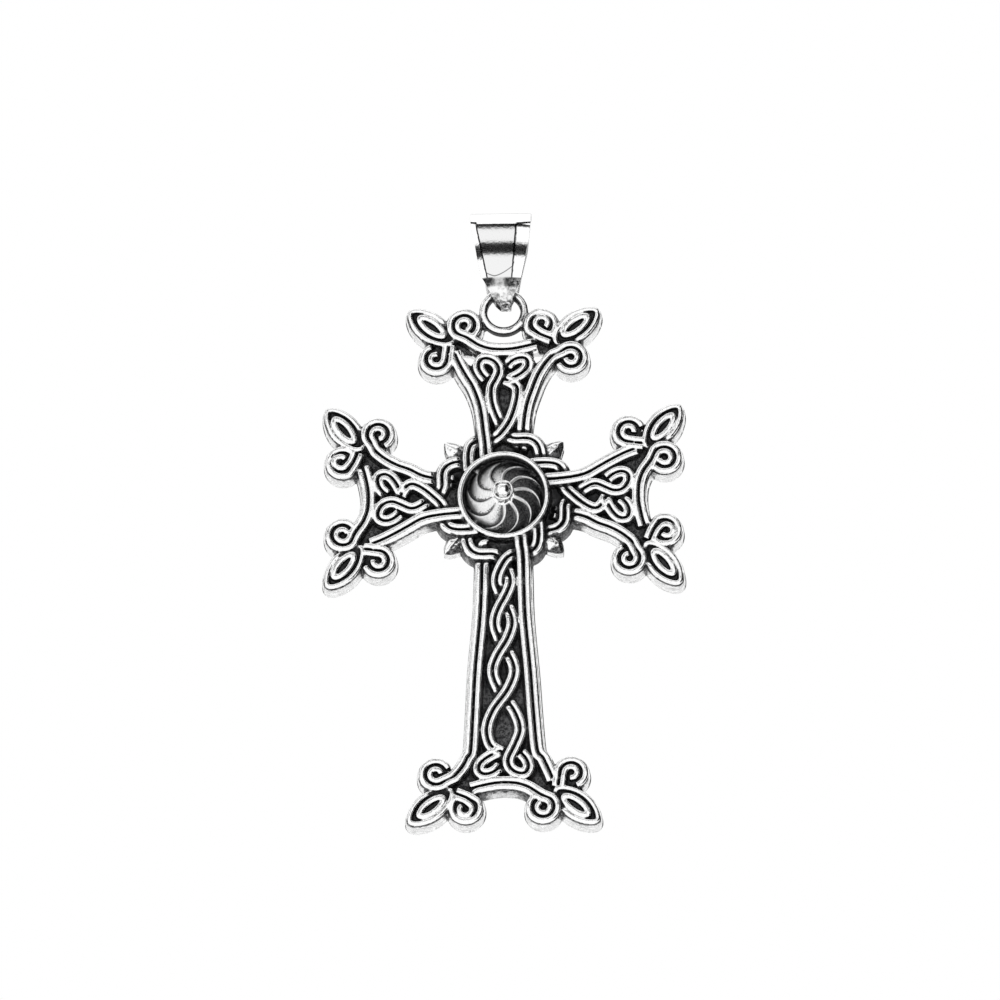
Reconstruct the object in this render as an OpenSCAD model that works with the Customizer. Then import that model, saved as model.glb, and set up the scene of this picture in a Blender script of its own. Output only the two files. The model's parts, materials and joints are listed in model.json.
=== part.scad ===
// Armenian cross pendant: a cast cross of knotwork bands on a loose tapered bail.
// Millimetres, +Z up, face towards -Y. The origin is the inside top of the bail,
// where the chain carries the pendant.
// Flat shapes are drawn as seen from the front: first value to the right, second
// value up. In an arm they are drawn as if the arm pointed up: first value across
// the arm, second value out from the middle of the cross.

/* [Overall] */
// Depth of the middle of the cross below the inside top of the bail
cross_drop = 29.9; // [29.5:0.1:30.5]
// How far the cross hangs to the right of the middle of the bail
cross_side = 0.2; // [0:0.05:0.2]
// Distance from the middle to the end bar of the top arm
top_arm = 15.8; // [15.5:0.05:16.2]
// Distance from the middle to the end bar of the two side arms
side_arm = 13.65; // [13.4:0.05:14]
// Distance from the middle to the end bar of the foot
foot_arm = 30.5; // [30:0.05:31]
// Thickness of the casting from its back to the top of the bands
thickness = 2.3; // [2:0.05:2.6]
// Depth of the dark ground below the top of the bands
ground_depth = 0.95; // [0.7:0.05:1.1]
// How much the side walls spread from the face to the back
draft = 0.4; // [0.2:0.05:0.5]

/* [Bands] */
// Width of a frame band with its two ridges
frame_w = 1.34; // [1.2:0.02:1.4]
// Width of a strand of the knotwork with its two ridges
strand_w = 1.14; // [1:0.02:1.2]
// Width of the groove between two ridges
groove_w = 0.3; // [0.2:0.02:0.4]
// Depth of that groove
groove_depth = 0.4; // [0.25:0.05:0.5]
// Gap on each side of a band that crosses over
cross_gap = 0.12; // [0.08:0.02:0.2]

/* [Corners] */
// Distance from the middle of an arm to its end scrolls
end_scroll_across = 3.9; // [3.7:0.05:4.1]
// How far the end scrolls lie beyond the end bar
end_scroll_out = 2.45; // [2.2:0.05:2.6]
// Distance from the middle of an arm to its side scrolls
side_scroll_across = 6.75; // [6.6:0.05:6.9]
// How far the side scrolls lie inside the end bar
side_scroll_in = 1.1; // [1:0.05:1.2]
// Radius of the middle line of a scroll where the band enters it
scroll_r = 1.12; // [1.05:0.01:1.2]
// Radius of that line at the inner end of the scroll
scroll_end_r = 0.98; // [0.9:0.01:1.05]
// Distance from the middle of an arm to the tip of a leaf
leaf_tip_across = 9.4; // [9:0.05:9.6]
// How far the leaf tips lie beyond the end bar
leaf_tip_out = 4.1; // [3.8:0.05:4.3]
// Largest width of a leaf
leaf_w = 2.8; // [2.5:0.05:3]

/* [Wheel] */
// Outer radius of the wheel's rim
wheel_r = 4.63; // [4.5:0.01:4.8]
// Width of the rim
rim_w = 0.5; // [0.4:0.05:0.7]
// Height of the rim above the bands
rim_rise = 0.45; // [0.3:0.05:0.6]
// Height of the hub above the rim
hub_rise = 1.25; // [0.9:0.05:1.4]
// Number of curved blades
blades = 10; // [8:1:12]
// Turn of a blade between the hub and the rim, in degrees
blade_turn = 42; // [30:2:54]
// Radius of the ball on the hub
ball_r = 0.74; // [0.6:0.02:0.8]

/* [Loop ring] */
// Height of the ring's centre above the middle of the cross
ring_up = 19.9; // [19.8:0.05:20]
// Outer radius of the ring
ring_r = 2.45; // [2.4:0.05:2.5]
// Radius of the hole in the ring
ring_hole_r = 1.68; // [1.6:0.02:1.7]
// Depth of the ring from front to back
ring_depth = 1.3; // [1.1:0.05:1.4]
// How far the ring lies behind the middle of the casting, so that it hangs upright
ring_back = 0.08; // [0:0.02:0.2]

/* [Bail] */
// Thickness of the bail's sheet
bail_wall = 0.5; // [0.45:0.05:0.55]
// Depth of the bail from front to back, outside
bail_depth = 5.2; // [5:0.05:5.6]
// Half width of the bail at its top
bail_half = 2.95; // [2.8:0.05:3]
// Gap between the top of the ring's hole and the floor of the bail
hang_gap = 0.54; // [0.5:0.01:0.58]
// Thickness of the bail's floor, where its two ends meet
bail_floor = 0.7; // [0.6:0.02:0.8]

/* [Hidden] */
$fn = 48;
silver = [0.60, 0.60, 0.61];
bright = [0.83, 0.83, 0.84];

// Heights above the middle plane of the casting, towards the viewer.
face = thickness / 2;
back = -thickness / 2;
ground = face - ground_depth;
groove = face - groove_depth;
rim_top = face + rim_rise;
hub_top = rim_top + hub_rise;
half_frame = frame_w / 2;
half_strand = strand_w / 2;
half_groove = groove_w / 2;

// Arms: [turn from the top arm, distance to the end bar]
arms = [[0, top_arm], [-90, side_arm], [90, side_arm], [180, foot_arm]];
foot = 3;

// Tables of an arm. Columns: across, out, share of the arm's extra length that
// the row moves out by (0 stays near the middle, 1 goes with the end bar).
side_a_rows = [
    [-4.95, 13.30, 1],
    [-4.50, 12.15, 1],
    [-3.80, 10.80, 1],
    [-3.05, 9.50, 1],
    [-2.35, 8.30, 0.6],
    [-2.00, 7.00, 0],
    [-1.80, 5.30, 0],
    [-1.75, 4.20, 0]
];
side_b_rows = [
    [1.70, 5.20, 0],
    [1.95, 6.80, 0],
    [2.30, 8.20, 0.6],
    [2.95, 9.40, 1],
    [3.45, 10.70, 1],
    [4.15, 11.90, 1],
    [4.95, 12.85, 1]
];
// End bar. Columns: across, distance beyond the end of the arm.
bar_rows = [
    [3.30, 0.45],
    [1.90, 0.10],
    [0.40, -0.14],
    [-1.20, -0.08],
    [-2.40, 0.30],
    [-3.10, 0.75],
    [-3.75, 1.20]
];
// The strand that crosses over: from under the wheel, round the wreath, up the arm.
over_rows = [
    [-3.40, 2.60, 0],
    [-3.50, 3.60, 0],
    [-3.50, 4.60, 0],
    [-3.30, 5.40, 0],
    [-2.65, 5.95, 0],
    [-1.80, 5.95, 0],
    [-0.85, 6.20, 0],
    [-0.05, 6.95, 0]
];
// The strand that goes under it there.
under_rows = [
    [3.40, 2.60, 0],
    [3.70, 4.00, 0],
    [3.65, 4.90, 0],
    [3.35, 5.60, 0],
    [2.70, 6.08, 0],
    [1.85, 6.15, 0],
    [1.00, 6.15, 0],
    [0.20, 6.75, 0]
];
// Short arms: how each strand goes on to the end of the arm.
over_mid_rows = [[0.75, 7.85, 0.2], [1.30, 8.75, 0.65]];
under_mid_rows = [[-0.60, 7.85, 0.25], [-1.15, 8.80, 0.6]];
// The inner end of the strand that stops beside the leaf loop.
tail_rows = [[1.40, 9.35, 1], [0.95, 9.85, 1], [0.15, 10.30, 1]];
// The hook loop at the end of the other strand.
hook_rows = [
    [-1.20, 9.40, 1],
    [-0.80, 10.25, 1],
    [-0.45, 11.15, 1],
    [-0.70, 12.00, 1],
    [-1.45, 12.52, 1],
    [-2.20, 12.48, 1],
    [-2.52, 11.80, 1],
    [-2.25, 11.00, 1],
    [-1.75, 10.40, 1]
];
// The leaf loop beside it.
loop_rows = [
    [0.30, 11.70, 1],
    [0.95, 12.35, 1],
    [1.85, 12.62, 1],
    [2.42, 12.30, 1],
    [2.40, 11.60, 1],
    [1.85, 10.98, 1],
    [0.95, 10.45, 1],
    [0.25, 10.15, 1]
];
// Braid of the foot. Columns: distance out of a widest place, half width there.
braid_rows = [[8.8, 0.75], [13.45, 1.0], [18.6, 1.12], [24.6, 1.75]];
// Distances out at which the two strands of the foot cross again.
braid_crossings = [10.9, 15.9, 21.4];

// Dome of the wheel. Columns: radius, height above the rim as a share of the hub's.
dome_rows = [[3.6, -0.14], [3.0, 0.14], [2.3, 0.46], [1.6, 0.76], [1.0, 0.96], [0, 0.97]];

// Bail, front view. Columns: height, left edge, right edge.
bail_edge_rows = [
    [0.6, -0.15 - bail_half, bail_half],
    [-0.8, -0.18 - bail_half, bail_half],
    [-2.7, 0.17 - bail_half, bail_half - 0.13],
    [-4.85, 0.5 - bail_half, bail_half - 0.49],
    [-7.0, 0.97 - bail_half, bail_half - 0.93],
    [-7.7, -1.5, 1.75],
    [-8.1, -1.27, 1.5],
    [-8.9, -0.8, 1.1],
    [-9.8, 0, 0.9]
];
// Slanting facets beside the front panel of the bail. Columns: side, distance of
// the panel's edge from the middle at the top and at the bend, slope in degrees.
facet_rows = [[-1, 2.46, 1.37, 24], [1, 1.54, 1.10, 10]];
facet_top = -1.7;
bail_bend = -7.1;
bail_taper = 0.06;

// A point between four control points of a smooth line.
function spline_point(a, b, c, d, t) =
    0.5 * (2 * b + (c - a) * t + (2 * a - 5 * b + 4 * c - d) * t * t
    + (3 * b - a - 3 * c + d) * t * t * t);

// A smooth line through the points of a list, n steps for each pair.
function smooth_line(p, n) = [
    for (i = [0:len(p) - 2]) for (j = [0:n - 1])
        spline_point(p[max(i - 1, 0)], p[i], p[i + 1], p[min(i + 2, len(p) - 1)], j / n),
    p[len(p) - 1]
];

// An arc about a centre, whose radius goes from r0 to r1.
function arc_line(centre, r0, r1, a0, a1) =
    let (n = ceil(abs(a1 - a0) / 24))
    [for (i = [0:n]) let (r = r0 + (r1 - r0) * i / n, a = a0 + (a1 - a0) * i / n)
        centre + r * [cos(a), sin(a)]];

// A line moved sideways by d, to its left.
function beside(p, d) = [
    for (i = [0:len(p) - 1])
        let (t = p[min(i + 1, len(p) - 1)] - p[max(i - 1, 0)])
        p[i] + d / norm(t) * [-t[1], t[0]]
];

function backwards(p) = [for (i = [len(p) - 1:-1:0]) p[i]];

// Rows of an arm's table as points, for an end bar at distance e.
function placed(rows, e) = [for (row = rows) [row[0], row[1] + row[2] * (e - side_arm)]];

// The flat shape between two lines beside p.
module strip(p, d0, d1) {
    polygon(concat(beside(p, d0), backwards(beside(p, d1))));
}

module two_ridges(p, half) {
    strip(p, half, half_groove);
    strip(p, -half_groove, -half);
}

module full_band(p, half) {
    strip(p, half, -half);
}

// Middle lines of the bands of an arm whose end bar is at distance e.
function bar_line(e) = concat(
    smooth_line([for (row = bar_rows) [row[0], e + row[1]]], 2),
    arc_line([-end_scroll_across, e + end_scroll_out], scroll_r + 0.05, scroll_end_r, 228, -42));
function side_b_line(e) = concat(
    smooth_line(placed(side_b_rows, e), 2),
    arc_line([side_scroll_across, e - side_scroll_in], scroll_r, scroll_end_r, 140, -150));
function side_a_line(e) = smooth_line(placed(side_a_rows, e), 2);
function end_scroll_line(e) = concat(
    smooth_line([[4.75, e + 0.3], [4.0, e + 0.85], [3.2, e + 1.5]], 2),
    arc_line([end_scroll_across - 0.1, e + end_scroll_out], scroll_r, scroll_end_r, 212, -42));
function side_scroll_line(e) = concat(
    [[-5.45, e + 0.35], [-5.55, e - 0.45]],
    arc_line([-side_scroll_across, e - side_scroll_in], scroll_r, scroll_end_r, 8, -255));

// One strand of the foot's braid: half waves between its widest places.
function braid(sign) = [
    for (i = [0:len(braid_rows) - 2]) for (t = [0, 1 / 3, 2 / 3])
        let (swing = (1 - cos(180 * t)) / 2, side = sign * (i % 2 == 0 ? 1 : -1))
        [side * (braid_rows[i][1] * (1 - swing) - braid_rows[i + 1][1] * swing),
            braid_rows[i][0] * (1 - t) + braid_rows[i + 1][0] * t],
    [-sign * braid_rows[3][1], braid_rows[3][0]]
];
function over_line(e, is_foot) = smooth_line(concat(
    placed(over_rows, e),
    is_foot ? braid(1) : placed(over_mid_rows, e),
    is_foot ? placed(hook_rows, e) : placed(tail_rows, e)), 2);
function under_line(e, is_foot) = smooth_line(concat(
    placed(under_rows, e),
    is_foot ? braid(-1) : placed(under_mid_rows, e),
    is_foot ? placed(tail_rows, e) : placed(hook_rows, e)), 2);
function loop_line(e) = smooth_line(placed(loop_rows, e), 2);

// The part of a line that lies near the place where two strands cross.
function near_crossing(p, out, reach) =
    [for (q = p) if (abs(q[1] - out) < reach && abs(q[0]) < 1.6) q];
// The part of the over strand that goes round the wreath.
function wreath_part(p) = [for (q = p) if (q[0] < -2.4 && q[1] < 6.2) q];
// The part of the under strand that crosses side band b.
function across_b_part(p) = [for (q = p) if (q[0] > 0.7 && q[1] < 6.6) q];

// A leaf from its root a to its tip b: two equal arcs.
function leaf_line(a, b, w) =
    let (
        along = b - a,
        length = norm(along),
        r = (length * length / 4 + w * w / 4) / w,
        half_angle = asin(length / 2 / r),
        middle = (a + b) / 2,
        side = [-along[1], along[0]] / length,
        turn = atan2(side[1], side[0])
    )
    concat(
        arc_line(middle - side * (r - w / 2), r, r, turn - half_angle, turn + half_angle * 0.92),
        arc_line(middle + side * (r - w / 2), r, r, turn + 180 - half_angle * 0.92,
            turn + 180 + half_angle));

module leaf_shape(e, sign, shrink) {
    tip = [sign * leaf_tip_across, e + leaf_tip_out];
    root = [sign * 4.7, e + 0.35];
    offset(delta = -shrink)
        polygon(leaf_line(tip, root, leaf_w));
}

module leaf_ridges(e, sign) {
    difference() {
        leaf_shape(e, sign, 0);
        leaf_shape(e, sign, 0.44);
    }
    difference() {
        leaf_shape(e, sign, 0.68);
        leaf_shape(e, sign, 1.02);
    }
}

// Ridges of the frame bands of one arm, cut back where another band crosses over.
module frame_ridges(e) {
    gap = cross_gap;
    difference() {
        two_ridges(bar_line(e), half_frame);
        full_band(end_scroll_line(e), half_frame + gap);
    }
    difference() {
        two_ridges(side_b_line(e), half_frame);
        full_band(across_b_part(under_line(e, e == foot_arm)), half_strand + gap);
    }
    difference() {
        two_ridges(side_a_line(e), half_frame);
        full_band(bar_line(e), half_frame + gap);
    }
    difference() {
        leaf_ridges(e, -1);
        full_band(bar_line(e), half_frame + gap);
    }
    difference() {
        leaf_ridges(e, 1);
        full_band(side_b_line(e), half_frame + gap);
    }
    difference() {
        two_ridges(side_scroll_line(e), half_frame);
        leaf_shape(e, -1, -gap);
        full_band(bar_line(e), half_frame + gap);
    }
    difference() {
        two_ridges(end_scroll_line(e), half_frame);
        leaf_shape(e, 1, -gap);
        full_band(side_b_line(e), half_frame + gap);
    }
}

// Ridges of the strands of one arm, cut back where they pass under.
module strand_ridges(e, is_foot) {
    over = over_line(e, is_foot);
    under = under_line(e, is_foot);
    gap = cross_gap;
    difference() {
        two_ridges(over, half_strand);
        full_band(side_a_line(e), half_frame + gap);
        if (is_foot) {
            full_band(near_crossing(under, braid_crossings[0], 1.4), half_strand + gap);
            full_band(near_crossing(under, braid_crossings[2], 1.6), half_strand + gap);
        }
    }
    difference() {
        two_ridges(under, half_strand);
        full_band(near_crossing(over, 7.0, 1.3), half_strand + gap);
        rotate(-90)
            full_band(wreath_part(over_line(side_arm, false)), half_strand + gap);
        if (is_foot) {
            full_band(near_crossing(over, braid_crossings[1], 1.5), half_strand + gap);
        }
    }
    difference() {
        two_ridges(loop_line(e), half_strand);
        full_band(is_foot ? over : under, half_strand + gap);
        full_band(side_b_line(e), half_frame + gap);
    }
}

// The flat shape of all bands of one arm.
module arm_bands(e, is_foot) {
    full_band(bar_line(e), half_frame);
    full_band(side_a_line(e), half_frame);
    full_band(side_b_line(e), half_frame);
    full_band(end_scroll_line(e), half_frame);
    full_band(side_scroll_line(e), half_frame);
    full_band(over_line(e, is_foot), half_strand);
    full_band(under_line(e, is_foot), half_strand);
    full_band(loop_line(e), half_strand);
    difference() {
        leaf_shape(e, -1, 0);
        leaf_shape(e, -1, 1.02);
    }
    difference() {
        leaf_shape(e, 1, 0);
        leaf_shape(e, 1, 1.02);
    }
}

// The ground of one arm, with the holes of the scrolls filled.
module arm_ground(e) {
    polygon(concat(backwards(side_a_line(e)), [[-5.5, e - 0.3], [-5.3, e + 0.4],
        [-3.4, e + 1.1], [-1.9, e + 0.2], [1.2, e], [3.4, e + 1.2], [4.9, e + 0.7],
        [5.6, e - 0.2]], backwards(placed(side_b_rows, e))));
    for (s = [-1, 1]) {
        translate([s * end_scroll_across, e + end_scroll_out])
            circle(r = scroll_r + 0.2, $fn = 16);
        translate([s * side_scroll_across, e - side_scroll_in])
            circle(r = scroll_r + 0.2, $fn = 16);
        leaf_shape(e, s, 0);
    }
}

module each_arm() {
    for (i = [0:len(arms) - 1])
        rotate(arms[i][0]) {
            $e = arms[i][1];
            $is_foot = i == foot;
            children();
        }
}

module bud(grow) {
    for (a = [45:90:315])
        rotate(a)
            translate([7.3, 0])
                offset(delta = grow)
                    polygon([[-1.2, 0.75], [0.1, 0.85], [1.15, 0], [0.1, -0.85], [-1.2, -0.75]]);
}

module bands_shape() {
    each_arm() arm_bands($e, $is_foot);
}

// The outline of the whole casting.
module outline(spread) {
    offset(delta = spread) {
        bands_shape();
        each_arm() arm_ground($e);
        circle(r = 6.2);
        bud(0);
    }
}

// The two small holes beside the end bar of the top arm.
module top_holes() {
    translate([0, top_arm]) {
        polygon([[-4.25, 0], [-3.3, -0.1], [-2.55, -0.55], [-3.15, -1.5], [-3.8, -1.15]]);
        polygon([[3.05, 0.05], [4.15, 0.05], [3.65, -1.3], [3.1, -1.0]]);
    }
}

// A flat shape as a layer between two heights, face towards -Y.
module layer(from, to) {
    rotate([90, 0, 0])
        translate([0, 0, from])
            linear_extrude(to - from)
                children();
}

module plate() {
    layer(back, back + thickness * 0.38) outline(draft);
    layer(back + thickness * 0.3, ground) outline(draft / 2);
}

// The floor of the grooves, just inside the walls of the ridges.
module groove_floor() {
    layer(ground - 0.1, groove)
        offset(delta = -0.08)
            bands_shape();
}

module ridges() {
    layer(ground - 0.1, face)
        offset(delta = 0.005)
            difference() {
                each_arm() {
                    frame_ridges($e);
                    strand_ridges($e, $is_foot);
                }
                circle(r = wheel_r - rim_w / 2);
            }
}

// Radius and height of the wheel's dome from near the rim to the middle, moved up by rise.
function dome_line(rise) = [
    for (row = dome_rows) [row[0], rim_top + row[1] * hub_rise + rise]
];

// One blade, from the hub to the rim, as a flat shape.
module blade() {
    line = [for (i = [0:7]) let (r = 0.8 + 3.1 * i / 7, a = 94 - blade_turn * pow(max(r - 1.1, 0) / 2.8, 2.8))
        r * [cos(a), sin(a)]];
    strip(line, 0.2, -0.2);
}

module wheel() {
    rim_in = wheel_r - rim_w;
    rotate([90, 0, 0]) {
        rotate_extrude()
            polygon([[rim_in, ground - 0.05], [wheel_r, ground - 0.05], [wheel_r, rim_top - 0.12],
                [wheel_r - 0.12, rim_top], [rim_in + 0.12, rim_top], [rim_in, rim_top - 0.12]]);
        rotate_extrude()
            polygon(concat([[0, ground - 0.05], [rim_in + 0.1, ground - 0.05], [rim_in + 0.1, face - 0.25]],
                dome_line(-0.15)));
        intersection() {
            translate([0, 0, ground])
                linear_extrude(hub_top + 0.5 - ground)
                    offset(delta = 0.005)
                        for (i = [0:blades - 1])
                            rotate(360 / blades * i)
                                blade();
            rotate_extrude()
                polygon(concat([[0, ground], [4, ground], [4, face + 0.1]], dome_line(0.2)));
        }
        translate([0, 0, face])
            cylinder(r = 1.09, h = hub_top + 0.06 - face);
        translate([0, 0, hub_top - 0.02])
            sphere(r = ball_r);
    }
}

// Raised buds between the arms.
module buds() {
    layer(back + 0.5, groove - 0.15) bud(0);
    layer(ground, groove + 0.15) bud(-0.35);
}

module loop_ring() {
    edge = 0.2;
    half = ring_depth / 2;
    translate([0, ring_back, ring_up])
        rotate([90, 0, 0])
            rotate_extrude()
                polygon([
                    [ring_hole_r, edge - half], [ring_hole_r + edge, -half],
                    [ring_r - edge, -half], [ring_r, edge - half],
                    [ring_r, half - edge], [ring_r - edge, half],
                    [ring_hole_r + edge, half], [ring_hole_r, half - edge]
                ]);
    // Solder webs between the ring and the two end scrolls.
    for (s = [-1, 1])
        layer(-ring_depth / 2 + 0.1, ring_depth / 2 - 0.35)
            polygon([[s * 1.85, ring_up - 0.3], [s * 2.6, ring_up - 0.9],
                [s * 2.75, ring_up - 2.3], [s * 1.75, ring_up - 1.75]]);
}

module cross() {
    color(silver)
        translate([cross_side, -ring_back, -cross_drop])
            difference() {
                union() {
                    plate();
                    groove_floor();
                    ridges();
                    wheel();
                    buds();
                    loop_ring();
                }
                layer(back - 1, face + 1)
                    top_holes();
            }
}

// Inside bottom of the bail, under the ring's wire.
bail_inner_bottom = ring_up + ring_hole_r - hang_gap - cross_drop;

// The bail from the side: a round top, sides that come a little closer down to
// the bend, then a wedge down to the ring.
function bail_side(inset, bottom, low_half) =
    let (half = bail_depth / 2 - inset)
    concat(
        [[-low_half, bottom], [bail_taper - half, bail_bend + inset / 2]],
        [for (a = [180:-20:0]) [half * cos(a), bail_wall - bail_depth / 2 + half * sin(a)]],
        [[half - bail_taper, bail_bend + inset / 2], [low_half, bottom]]);

// What a facet takes off the front of the bail.
module facet_cut(row) {
    drop = facet_top - bail_bend;
    pitch = atan(((row[1] - row[2]) * sin(row[3]) + bail_taper * cos(row[3])) / drop);
    translate([row[0] * row[1], -bail_depth / 2, facet_top])
        rotate([pitch, 0, row[0] * row[3]])
            translate([0, -2, 0])
                cube([12, 4, 20], center = true);
}

module bail() {
    left = [for (row = bail_edge_rows) [row[1], row[0]]];
    right = [for (row = bail_edge_rows) [row[2], row[0]]];
    color(bright)
        difference() {
            intersection() {
                rotate([90, 0, 90])
                    translate([0, 0, -bail_half - 0.5])
                        linear_extrude(2 * bail_half + 1)
                            difference() {
                                polygon(bail_side(0, bail_inner_bottom - bail_floor, 0.55));
                                polygon(bail_side(bail_wall, bail_inner_bottom, 0.85));
                            }
                rotate([90, 0, 0])
                    translate([0, 0, -bail_depth / 2 - 0.5])
                        linear_extrude(bail_depth + 1)
                            polygon(concat(left, backwards(right)));
            }
            for (turn = [0, 180], row = facet_rows)
                rotate([0, 0, turn])
                    facet_cut(row);
        }
}

/* [View] */
// Sub-part to show

cross();
bail();
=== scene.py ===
"""Armenian cross pendant: a cast cross of knotwork bands on a loose tapered bail.

Pieces are modelled in millimetres, lying flat as seen from the front: x to the right,
y up, z towards the viewer, with z 0 at the face of the bands. The last step of a piece
stands it up in the frame, in metres, with its face towards -Y.
"""

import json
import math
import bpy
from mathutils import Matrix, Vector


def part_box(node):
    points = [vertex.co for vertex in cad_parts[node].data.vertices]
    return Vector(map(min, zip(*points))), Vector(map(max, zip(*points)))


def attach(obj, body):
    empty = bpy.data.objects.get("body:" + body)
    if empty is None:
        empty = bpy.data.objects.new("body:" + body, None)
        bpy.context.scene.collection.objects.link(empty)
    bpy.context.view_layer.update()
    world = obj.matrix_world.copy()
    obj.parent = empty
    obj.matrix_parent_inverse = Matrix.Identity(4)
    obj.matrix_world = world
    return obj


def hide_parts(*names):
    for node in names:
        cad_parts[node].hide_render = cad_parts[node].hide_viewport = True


bl_info = {
    "name": "Armenian Cross Pendant",
    "version": (1, 0, 0),
    "blender": (4, 5, 0),
    "location": "View3D > Sidebar > Pendant",
    "description": "Models a cast knotwork cross with its bail, and their silver finishes",
    "category": "Object",
}

import bpy
import numpy as np
from mathutils import Vector
from mathutils.bvhtree import BVHTree

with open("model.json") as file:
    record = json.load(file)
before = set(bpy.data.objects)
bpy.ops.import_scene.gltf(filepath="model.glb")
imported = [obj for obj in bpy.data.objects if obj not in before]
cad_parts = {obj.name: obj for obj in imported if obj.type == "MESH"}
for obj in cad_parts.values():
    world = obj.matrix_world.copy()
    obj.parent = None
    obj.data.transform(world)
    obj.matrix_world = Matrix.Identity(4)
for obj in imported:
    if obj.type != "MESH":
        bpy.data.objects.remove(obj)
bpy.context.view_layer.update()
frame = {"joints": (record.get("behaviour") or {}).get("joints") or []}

MM = 0.001

# Main sizes of the casting, in millimetres. They are the solid's, but for the leaf, which is
# a little larger here.
TOP_ARM = 15.8
SIDE_ARM = 13.65
FOOT_ARM = 30.5
THICKNESS = 2.3
LEDGE = 0.06
LEDGE_DEPTH = 0.36
END_SCROLL = (3.9, 2.45)
SIDE_SCROLL = (6.75, -1.1)
SCROLL_R = 1.12
SCROLL_END_R = 0.98
CURL_R = 0.52
LEAF_TIP = (9.7, 4.36)
LEAF_ROOT = (4.7, 0.35)
LEAF_W = 3.05
RING_UP = 19.9
RING_R = 2.45
RING_HOLE_R = 1.68
RING_DEPTH = 1.3

# Heights of the sunk ground between the bands and inside the scrolls, and its reach about
# the middle.
GROUND = -0.95
SCROLL_GROUND = -0.62
HUB_GROUND_R = 6.3

# A leaf: half widths of its outer ridge and of its inner loop, and how far inside its edge
# the inner loop and the filled ground lie.
LEAF_RIDGE = 0.23
LEAF_LOOP_RIDGE = 0.3
LEAF_LOOP_INSET = 0.92
LEAF_FILL_INSET = 0.3

# The lower part of the shaft stands further out: by how much on both sides, the distances out
# between which that comes in and between which it goes out, and how much more on the right.
SHAFT_SPREAD = 0.33
SHAFT_SPREAD_FROM = (13.2, 18.5)
SHAFT_SPREAD_TO = (25, 29)
SHAFT_RIGHT_SPREAD = 0.17

# A band starts to sink at this distance from the one above it, and is down after that run.
DIP_REACH = 1.25
DIP_RUN = 0.85

# Vanes of the wheel: where they start to turn back, over what length and how sharply, and the
# place of a vane's foot between its own crest, at 0, and the next one, at 1.
VANE_START_R = 1.1
VANE_LENGTH = 2.8
VANE_BEND = 2.8
VANE_FOOT = 0.88

# The ring on the hub: radius of its middle line and of its wire.
HUB_RING_R = 0.96
HUB_WIRE_R = 0.13

# A bud: distance of its middle, length and width to each side, height, height of its middle.
BUD_OUT = 7.15
BUD_LENGTH = 1.25
BUD_WIDTH = 0.93
BUD_HEIGHT = 0.7
BUD_LEVEL = -0.75

# Where the flat model stands in the frame.
cross_low, cross_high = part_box("cross")
SWING_Z = frame["joints"][0]["pos_m"][2] / MM
CENTRE = Vector(
    (
        (cross_low.x + cross_high.x) / 2 / MM,
        cross_high.y / MM - THICKNESS,
        SWING_Z - RING_UP - (RING_R + RING_HOLE_R) / 2,
    )
)

# Arms: (turn from the top arm in degrees, distance to the end bar).
ARMS = [(0, TOP_ARM), (-90, SIDE_ARM), (90, SIDE_ARM), (180, FOOT_ARM)]

# Tables of an arm. Columns: across, out, share of the arm's extra length that the row
# moves out by.
SIDE_A = [
    (-4.95, 13.30, 1),
    (-4.50, 12.15, 1),
    (-3.80, 10.80, 1),
    (-3.05, 9.50, 1),
    (-2.35, 8.30, 0.6),
    (-2.00, 7.00, 0),
    (-1.80, 5.30, 0),
    (-1.75, 4.20, 0),
]
SIDE_B = [
    (1.70, 5.20, 0),
    (1.95, 6.80, 0),
    (2.30, 8.20, 0.6),
    (2.95, 9.40, 1),
    (3.45, 10.70, 1),
    (4.15, 11.90, 1),
    (4.95, 12.85, 1),
]
OVER = [
    (-3.40, 2.60, 0),
    (-3.50, 3.60, 0),
    (-3.50, 4.60, 0),
    (-3.30, 5.40, 0),
    (-2.65, 5.95, 0),
    (-1.80, 5.95, 0),
    (-0.85, 6.20, 0),
    (-0.05, 6.95, 0),
]
UNDER = [
    (3.40, 2.60, 0),
    (3.70, 4.00, 0),
    (3.65, 4.90, 0),
    (3.35, 5.60, 0),
    (2.70, 6.08, 0),
    (1.85, 6.15, 0),
    (1.00, 6.15, 0),
    (0.20, 6.75, 0),
]
OVER_MID = [(0.75, 7.85, 0.2), (1.30, 8.75, 0.65)]
UNDER_MID = [(-0.60, 7.85, 0.25), (-1.15, 8.80, 0.6)]
TAIL = [(1.40, 9.35, 1), (0.95, 9.85, 1), (0.15, 10.30, 1)]
HOOK = [
    (-1.20, 9.40, 1),
    (-0.80, 10.25, 1),
    (-0.45, 11.15, 1),
    (-0.70, 12.00, 1),
    (-1.45, 12.52, 1),
    (-2.20, 12.48, 1),
    (-2.52, 11.80, 1),
    (-2.25, 11.00, 1),
    (-1.75, 10.40, 1),
]
LEAF_LOOP = [
    (0.30, 11.70, 1),
    (0.95, 12.35, 1),
    (1.85, 12.62, 1),
    (2.42, 12.30, 1),
    (2.40, 11.60, 1),
    (1.85, 10.98, 1),
    (0.95, 10.45, 1),
    (0.25, 10.15, 1),
]

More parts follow.
